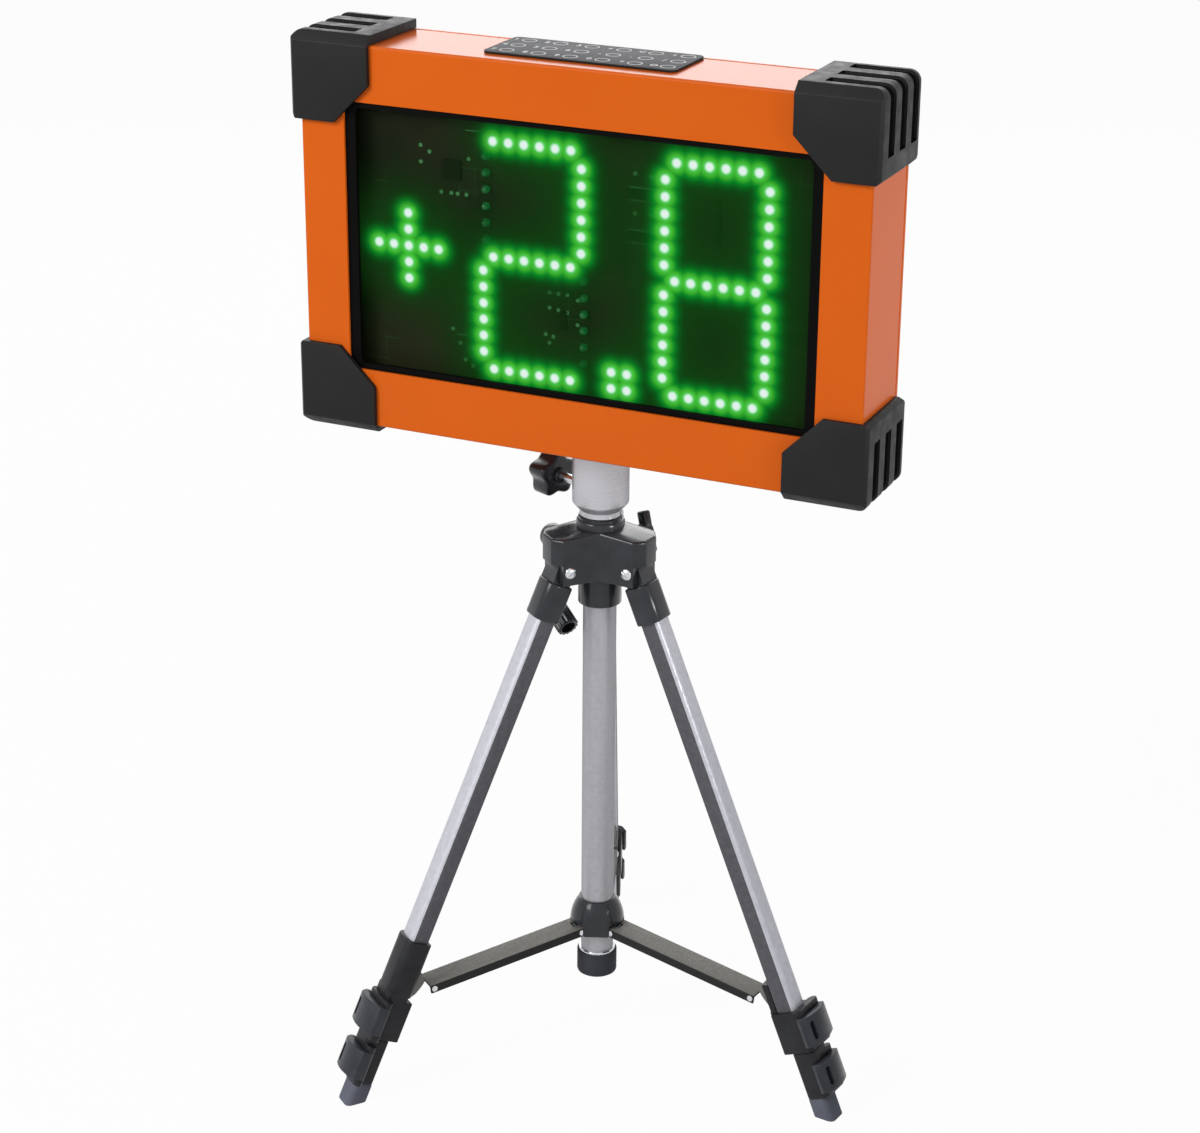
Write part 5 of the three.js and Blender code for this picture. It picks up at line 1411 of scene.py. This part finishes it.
def build_leg_top(name, place):
    collar = round_edges(leg_prism(0, SOCKET_WALL, SOCKET_TOP, SOCKET_BOTTOM), SOCKET_EDGE, 3, 40)
    neck = block_piece((-LEG_HALF_DEPTH, -NECK_HALF, -NECK_LENGTH), (LEG_HALF_DEPTH, NECK_HALF, 0))
    knuckle = round_edges(cross_rod(KNUCKLE_RADIUS, (0, 0, 0), NECK_HALF), KNUCKLE_EDGE, 2)
    weld(collar, neck, knuckle)
    reach = NECK_HALF + OVERRUN
    hole = rod_piece(PIVOT_HOLE, (0, -reach, 0), (0, reach, 0), FINE_ROUND)
    carve(collar, leg_prism(0, GAP, SOCKET_TOP + OVERRUN, SOCKET_BOTTOM + OVERRUN), hole)
    finish_piece(
        collar, "leg_head_" + name, "leg_" + name, "moulded_black", place, ["leg_top_" + name],
    )


def build_tubes(name, place):
    for index, kind, body, top, bottom in TUBE_RUNS:
        tube = leg_prism(index, 0, top, bottom)
        carve(tube, leg_prism(index, -LEG_WALL, top - OVERRUN, bottom + OVERRUN))
        # The side faces take the painted shade and the wide faces the painted light
        mark_faces(tube, lambda middle, normal: abs(normal.y) > SIDE_SHARE)
        finish_piece(
            tube, f"{kind}_stage_{name}", body + name, ["tube_face_painted_light", "tube_side_painted_shade"], place,
            [f"{kind}_tube_{name}"],
        )


def hinge_place(index):
    """Where a lever's hinge stands, outward and to the side."""
    deep, wide = half_section(index)
    return deep + HINGE_OUT, wide + HINGE_SIDE


def hinge_rod(index, radius, bottom, top):
    x, y = hinge_place(index)
    return rod_piece(radius, (x, y, -bottom), (x, y, -top), FINE_ROUND)


def hinge_lugs(index, top):
    """The two eyes that hold a lever's hinge, each with its web to the lock."""
    x, y = hinge_place(index)
    made = []
    for high in (top, top + LOCK_LENGTH - HINGE_HEIGHT):
        low = high + HINGE_HEIGHT
        made.append(round_edges(hinge_rod(index, HINGE_RADIUS, low, high), HINGE_EDGE, 2))
        made.append(block_piece((x - HINGE_RADIUS, 0, -low), (x + HINGE_RADIUS, y, -high)))
    return made


def brace_block():
    """A small block on the tube's inner side that carries the brace arm."""
    down = Vector((0, 0, -BRACE))
    block = block_piece(down + Vector(BLOCK_LOW), down + Vector(BLOCK_HIGH))
    seat = block_piece(down + Vector(SEAT_LOW), down + Vector(SEAT_HIGH))
    return [round_edges(block, BLOCK_EDGE, 3), seat]


def brace_band():
    """The long collar of the left leg, which carries the brace arm in place of the block."""
    band = round_edges(leg_prism(0, BAND_WALL, BRACE - BAND_RISE, BRACE + BAND_FALL), BAND_EDGE, 3, 40)
    joint = outline_piece(
        rectangle(*JOINT_SHAPE), -BRACE - JOINT_BOTTOM, -BRACE - JOINT_TOP, LOCK_CORNERS, 6,
    )
    return [band, joint]


def build_lock(name, place, index, body, node):
    deep, wide = half_section(index)
    top = LOCK_TOPS[index]
    bottom = top + LOCK_LENGTH
    side = wide + LOCK_WALL
    shape = rectangle(-deep - LOCK_INWARD[index], deep + LOCK_OUTWARD, -side, side)
    shell = outline_piece(shape, -bottom, LOCK_HEAD[index] - top, LOCK_CORNERS, 6)
    round_edges(shell, LOCK_EDGE, 3, 40)
    others = hinge_lugs(index, top)
    if index == 0:
        others += brace_band() if name == "left" else brace_block()
    weld(shell, *others)
    carve(
        shell,
        leg_prism(index, GAP, top - LOCK_BORE_RISE[index], bottom - LOCK_FLOOR),
        leg_prism(index + 1, GAP, top, bottom + OVERRUN),
        hinge_rod(index, HINGE_ROOM, bottom - HINGE_HEIGHT, top + HINGE_HEIGHT),
    )
    finish_piece(
        shell, node.replace("lock", "clamp_body"), body, "lock_black", place, [node],
    )


def build_bracket(name, place):
    """The grey lug that the brace arm's end lies on."""
    lug = upright_slab([(x, z - BRACE) for x, z in LUG_OUTLINE], -LUG_HALF, LUG_HALF)
    round_edges(lug, LUG_EDGE, 2, 30)
    finish_piece(lug, "brace_lug_" + name, "leg_" + name, "arm_grey", place, ())


def lever_outline(index):
    """The lever from above: a hook at its tip, a bowed back and an eye round the hinge."""
    deep, wide = half_section(index)
    hinge_x, hinge_y = hinge_place(index)
    inner, tip = deep + LEVER_INNER, -wide - LOCK_WALL
    points = [(inner + x, tip + y) for x, y in LEVER_HOOK]
    start, end = points[-1][1], hinge_y + HINGE_RADIUS
    for share in LEVER_SHARES:
        bow = math.sin(math.pi * min(1.0, BOW_START_SHARE + share * BOW_SPAN_SHARE))
        points.append((inner + LEVER_THIN + LEVER_BOW * bow, start + (end - start) * share))
    return points + [(hinge_x, end), (hinge_x, hinge_y), (inner, hinge_y - HINGE_RADIUS)]


def build_lever(place, index, body, node):
    deep, wide = half_section(index)
    high, low = LOCK_TOPS[index] + LEVER_TOP, LOCK_TOPS[index] + LEVER_BOTTOM
    plate = round_edges(outline_piece(lever_outline(index), -low, -high), LEVER_EDGE, 3, 50)
    weld(plate, hinge_rod(index, HINGE_RADIUS, low, high))
    dent = outline_piece(rectangle(*DENT_SHAPE), 0, DENT_DEPTH, [(DENT_CORNER, range(4))], 6)
    spot = (deep + LEVER_INNER + DENT_OUT, DENT_SIDE - wide - LOCK_WALL, -(low + high) / 2)
    dent.data.transform(Matrix.Translation(spot) @ Z_OUTWARD)
    carve(plate, dent)
    finish_piece(plate, node.replace("lever", "latch"), body, "lever_black", place, [node])


def build_foot(name, place):
    splay = math.radians(bpy.context.scene.tripod_sizes.splay_degrees)
    length = PIVOT_HEIGHT / math.cos(splay)
    foot = leg_prism(2, FOOT_WALL, FOOT_TOP, length + FOOT_SPARE)
    down = Matrix.Rotation(splay, 3, "Y") @ Vector((0, 0, -1))
    slice_piece(foot, ((0, 0, -length), down))
    round_edges(foot, FOOT_EDGE, 3, 40)
    carve(foot, leg_prism(2, GAP, FOOT_BORE_TOP, length - FOOT_SOLE))
    finish_piece(
        foot, "foot_pad_" + name, "lower_" + name, "foot_rubber", place, ["foot_" + name],
    )


def build_leg(name):
    place = leg_place(name)
    build_leg_top(name, place)
    build_tubes(name, place)
    build_lock(name, place, 0, "leg_" + name, "leg_lock_" + name)
    build_bracket(name, place)
    build_lock(name, place, 1, "middle_" + name, "lower_lock_" + name)
    build_lever(place, 0, "lever_" + name, "lock_lever_" + name)
    build_lever(place, 1, "low_lever_" + name, "lower_lever_" + name)
    build_foot(name, place)


# CAD nodes that keep their own shapes

KEPT_NODES = {
    "window_frame": "window_black",
    "window_pane": "window_pane",
    "display_board": "board_green",
    "controller_board": "board_green",
    "battery_pack": "battery_wrap",
}


def dress_kept_nodes():
    for node, finish in KEPT_NODES.items():
        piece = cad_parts[node]
        piece.data.materials.clear()
        piece.data.materials.append(FINISHES[finish])


# Stage, lamps and camera

CAMERA_TURN, CAMERA_PITCH, CAMERA_ROLL = 24.50, 22.19, 0.48
CAMERA_LENS, CAMERA_SENSOR, CAMERA_FAR = 84.0, 36.0, 50.0
CAMERA_DISTANCE = 1955.0
# A point on the head's front, then where it shows: how far right of and below the picture's
# middle, and the focal length, in the photograph's pixels
CAMERA_TARGET = (-37.7, -47.0, 637.0)
CAMERA_AIM = (-74.4, -300.2, 2800.0)

# In metres: each lamp's spot, the point that it lights, and its width and height
KEY_LAMP = ((-1.15, -2.2, 2.1), (0, 0, 0.45), (1.3, 1.3))
FILL_LAMP = ((2.3, -0.5, 0.95), (0.2, 0, 0.65), (0.6, 0.4))
BACK_LAMP = ((-1.25, 2.5, 1.75), (0, 0, 0.75), (3.2, 1.4))
FILL_SPREAD = 22.0
FLOOR_HALF, FLOOR_COLOUR, FLOOR_GLOW = 8.0, (0.75, 0.75, 0.75, 1.0), 0.96


def build_camera():
    """The photograph's own view, solved from the head's corners and lamps."""
    turn, pitch, roll = (math.radians(a) for a in (CAMERA_TURN, CAMERA_PITCH, CAMERA_ROLL))
    ahead = Vector((-math.sin(turn) * math.cos(pitch), math.cos(turn) * math.cos(pitch), -math.sin(pitch)))
    right = Vector((math.cos(turn), math.sin(turn), 0))
    down = ahead.cross(right)
    level, plumb = right, down
    right = math.cos(roll) * level - math.sin(roll) * plumb
    down = math.sin(roll) * level + math.cos(roll) * plumb
    across, below, focal = CAMERA_AIM
    reach = CAMERA_DISTANCE * (across / focal * right + below / focal * down + ahead)
    spot = Vector(CAMERA_TARGET) - reach
    data = bpy.data.cameras.new("photo_camera")
    data.lens = CAMERA_LENS
    data.sensor_width = CAMERA_SENSOR
    data.sensor_fit = "HORIZONTAL"
    data.clip_end = CAMERA_FAR
    camera = link_object("photo_camera", data)
    turned = Matrix((right, -down, -ahead)).transposed().to_4x4()
    camera.matrix_world = Matrix.Translation(column_place() @ spot) @ turned
    bpy.context.scene.camera = camera


def ray_kind(tree, *rays):
    """One for a ray of any of these kinds, and nought for another."""
    path = tree.nodes.new("ShaderNodeLightPath")
    total = path.outputs[rays[0]]
    for ray in rays[1:]:
        add = tree.nodes.new("ShaderNodeMath")
        add.operation = "ADD"
        add.use_clamp = True
        tree.links.new(total, add.inputs[0])
        tree.links.new(path.outputs[ray], add.inputs[1])
        total = add.outputs[0]
    return total


def mix_output(tree, kind, share, first, second):
    """Sends a mix of two shaders to the tree's output."""
    mix = tree.nodes.new("ShaderNodeMixShader")
    out = tree.nodes.new(kind)
    tree.links.new(share, mix.inputs["Fac"])
    tree.links.new(first.outputs[0], mix.inputs[1])
    tree.links.new(second.outputs[0], mix.inputs[2])
    tree.links.new(mix.outputs[0], out.inputs["Surface"])


def stage_material(name, colour, glow):
    """A pale surface that shows itself to the camera as nearly white and still takes a shadow."""
    material = bpy.data.materials.new(name)
    material.use_nodes = True
    tree = material.node_tree
    tree.nodes.clear()
    diffuse = tree.nodes.new("ShaderNodeBsdfDiffuse")
    diffuse.inputs["Color"].default_value = colour
    light = tree.nodes.new("ShaderNodeEmission")
    light.inputs["Color"].default_value = (1, 1, 1, 1)
    share = tree.nodes.new("ShaderNodeMath")
    share.operation = "MULTIPLY"
    share.inputs[1].default_value = glow
    tree.links.new(ray_kind(tree, "Is Camera Ray", "Is Glossy Ray"), share.inputs[0])
    mix_output(tree, "ShaderNodeOutputMaterial", share.outputs[0], diffuse, light)
    return material


def build_floor():
    bm = bmesh.new()
    bmesh.ops.create_grid(bm, x_segments=1, y_segments=1, size=FLOOR_HALF)
    floor = link_object("floor", mesh_of(bm, "floor"))
    floor.data.materials.append(stage_material("pale_floor", FLOOR_COLOUR, FLOOR_GLOW))


def build_world(ambient):
    """White to the camera and in what is mirrored or seen through, and a softer light elsewhere."""
    world = bpy.data.worlds.new("studio")
    bpy.context.scene.world = world
    world.use_nodes = True
    tree = world.node_tree
    tree.nodes.clear()
    soft, white = (tree.nodes.new("ShaderNodeBackground") for _ in range(2))
    for node, strength in ((soft, ambient), (white, 1.0)):
        node.inputs["Color"].default_value = (1, 1, 1, 1)
        node.inputs["Strength"].default_value = strength
    seen = ray_kind(tree, "Is Camera Ray", "Is Glossy Ray", "Is Transmission Ray")
    mix_output(tree, "ShaderNodeOutputWorld", seen, soft, white)


def add_lamp(name, spot, aim, size, power, spread=180.0):
    data = bpy.data.lights.new(name, "AREA")
    data.spread = math.radians(spread)
    data.shape = "RECTANGLE"
    data.size, data.size_y = size
    data.energy = power
    lamp = link_object(name, data)
    line = Vector(aim) - Vector(spot)
    lamp.matrix_world = Matrix.Translation(spot) @ line.to_track_quat("-Z", "Y").to_matrix().to_4x4()


# Settings that a user would change

def length_setting(label, value, text):
    return bpy.props.FloatProperty(name=label, description=text + ", in millimetres", default=value, min=0.0)


def angle_setting(label, value, text):
    return bpy.props.FloatProperty(name=label, description=text + ", in degrees", default=value)


def power_setting(label, value, text):
    return bpy.props.FloatProperty(name=label, description=text, default=value, min=0.0)


def colour_setting(label, value, text):
    return bpy.props.FloatVectorProperty(
        name=label, description=text + ", in 0 to 255 steps", default=value, size=3,
    )


class HeadSizes(bpy.types.PropertyGroup):
    width: length_setting("Width", 430.0, "Width of the orange housing")
    window_width: length_setting("Window width", 361.0, "Width of the window's opening")
    window_height: length_setting("Window height", 197.0, "Height of the window's opening")
    fold_radius: length_setting("Fold radius", 1.7, "Radius of the sheet's folds")


class LampSizes(bpy.types.PropertyGroup):
    pitch: length_setting("Lamp pitch", 12.0, "Distance between neighbouring lamps")
    core_radius: length_setting("Core radius", 3.2, "Reach of the white core of a lit lamp")
    haze_radius: length_setting("Haze radius", 9.5, "Reach of the green haze round a lit lamp")
    spill_radius: length_setting("Spill radius", 29.0, "Reach of the light that a lamp spills on the board")


class TripodSizes(bpy.types.PropertyGroup):
    splay_degrees: angle_setting("Splay", 23.65, "Each leg's angle from upright")
    clamp_azimuth: angle_setting("Clamp azimuth", 157.5, "Direction of the clamp knob from the column")
    wing_azimuth: angle_setting("Lock azimuth", 52.0, "Direction of the column lock from the column")
    crank_azimuth: angle_setting("Crank azimuth", 146.5, "Direction of the crank's shaft")
    grip_tilt: angle_setting("Grip tilt", 27.0, "How far the folded grip hangs below level")


class FinishColours(bpy.types.PropertyGroup):
    paint: colour_setting("Paint", (217.0, 97.0, 20.0), "Colour of the housing's powder coat")
    glow: colour_setting("Glow", (10.0, 152.0, 42.0), "Colour of the lamps' haze")


class StageSettings(bpy.types.PropertyGroup):
    key: power_setting("Key lamp", 56.0, "Power of the main lamp, in watts")
    fill: power_setting("Fill lamp", 0.52, "Power of the lamp at the side, in watts")
    back: power_setting("Back lamp", 34.0, "Power of the long lamp behind, in watts")
    ambient: power_setting("Ambient", 0.32, "Strength of the light from all round")


# Operators, one for each group of pieces

class SCORE_OT_finishes(bpy.types.Operator):
    """Make the node materials that the pieces use"""
    bl_idname = "scoreboard.finishes"
    bl_label = "Finishes"

    def execute(self, context):
        make_finishes()
        return {"FINISHED"}


class SCORE_OT_head(bpy.types.Operator):
    """Model the housing and its back cover"""
    bl_idname = "scoreboard.head"
    bl_label = "Head"

    def execute(self, context):
        build_housing()
        build_rear_cover()
        return {"FINISHED"}


class SCORE_OT_caps(bpy.types.Operator):
    """Model the four grooved corner caps"""
    bl_idname = "scoreboard.caps"
    bl_label = "Corner caps"

    def execute(self, context):
        build_caps()
        return {"FINISHED"}


class SCORE_OT_lamps(bpy.types.Operator):
    """Model the lamps, their haze and the board's small parts"""
    bl_idname = "scoreboard.lamps"
    bl_label = "Lamps"

    def execute(self, context):
        build_lamps()
        return {"FINISHED"}


class SCORE_OT_keypad(bpy.types.Operator):
    """Model the keypad with its rings and signs"""
    bl_idname = "scoreboard.keypad"
    bl_label = "Keypad"

    def execute(self, context):
        build_keypad()
        return {"FINISHED"}


class SCORE_OT_mounting(bpy.types.Operator):
    """Model the sleeve, the clamp knob and the column"""
    bl_idname = "scoreboard.mounting"
    bl_label = "Mounting"

    def execute(self, context):
        build_sleeve()
        build_clamp()
        build_column()
        return {"FINISHED"}


class SCORE_OT_crown(bpy.types.Operator):
    """Model the tripod's crown, its guide tube, screws, column lock and crank"""
    bl_idname = "scoreboard.crown"
    bl_label = "Crown"

    def execute(self, context):
        build_canopy()
        build_guide()
        build_pivots()
        build_lock_wing()
        build_crank()
        return {"FINISHED"}


class SCORE_OT_spreader(bpy.types.Operator):
    """Model the spreader's hub and its three arms"""
    bl_idname = "scoreboard.spreader"
    bl_label = "Spreader"

    def execute(self, context):
        build_hub()
        for name in LEG_AZIMUTHS:
            build_arm(name)
        return {"FINISHED"}


class SCORE_OT_legs(bpy.types.Operator):
    """Model the three telescoping legs with their locks and feet"""
    bl_idname = "scoreboard.legs"
    bl_label = "Legs"

    def execute(self, context):
        for name in LEG_AZIMUTHS:
            build_leg(name)
        return {"FINISHED"}


class SCORE_OT_kept(bpy.types.Operator):
    """Give the pieces that keep their plain shapes their finishes"""
    bl_idname = "scoreboard.kept"
    bl_label = "Plain pieces"

    def execute(self, context):
        dress_kept_nodes()
        return {"FINISHED"}


class SCORE_OT_stage(bpy.types.Operator):
    """Set up the camera, the floor, the lamps and the surrounding light"""
    bl_idname = "scoreboard.stage"
    bl_label = "Stage"

    def execute(self, context):
        settings = context.scene.stage_settings
        context.scene.view_settings.view_transform = "Standard"
        build_camera()
        build_floor()
        build_world(settings.ambient)
        add_lamp("key_lamp", *KEY_LAMP, settings.key)
        add_lamp("fill_lamp", *FILL_LAMP, settings.fill, FILL_SPREAD)
        add_lamp("back_lamp", *BACK_LAMP, settings.back)
        return {"FINISHED"}


STEPS = (
    "stage", "finishes", "head", "caps", "lamps", "keypad", "mounting", "crown", "spreader", "legs", "kept",
)


class SCORE_PT_panel(bpy.types.Panel):
    """Lists the steps that dress the scoreboard"""
    bl_idname = "SCORE_PT_panel"
    bl_label = "Scoreboard"
    bl_space_type = "VIEW_3D"
    bl_region_type = "UI"
    bl_category = "Scoreboard"

    def draw(self, context):
        for name in GROUPS:
            group = getattr(context.scene, name)
            for key in group.__annotations__:
                self.layout.prop(group, key)
        for step in STEPS:
            self.layout.operator("scoreboard." + step)


GROUPS = {
    "head_sizes": HeadSizes,
    "lamp_sizes": LampSizes,
    "tripod_sizes": TripodSizes,
    "finish_colours": FinishColours,
    "stage_settings": StageSettings,
}
OTHER_CLASSES = (
    SCORE_OT_finishes, SCORE_OT_head, SCORE_OT_caps, SCORE_OT_lamps, SCORE_OT_keypad, SCORE_OT_mounting,
    SCORE_OT_crown, SCORE_OT_spreader, SCORE_OT_legs, SCORE_OT_kept, SCORE_OT_stage, SCORE_PT_panel,
)


def register():
    for name, group in GROUPS.items():
        bpy.utils.register_class(group)
        setattr(bpy.types.Scene, name, bpy.props.PointerProperty(type=group))
    for entry in OTHER_CLASSES:
        bpy.utils.register_class(entry)


def unregister():
    for entry in reversed(OTHER_CLASSES):
        bpy.utils.unregister_class(entry)
    for name, group in reversed(GROUPS.items()):
        delattr(bpy.types.Scene, name)
        bpy.utils.unregister_class(group)


def main():
    register()
    for step in STEPS:
        getattr(bpy.ops.scoreboard, step)()


if __name__ == "__main__":
    main()
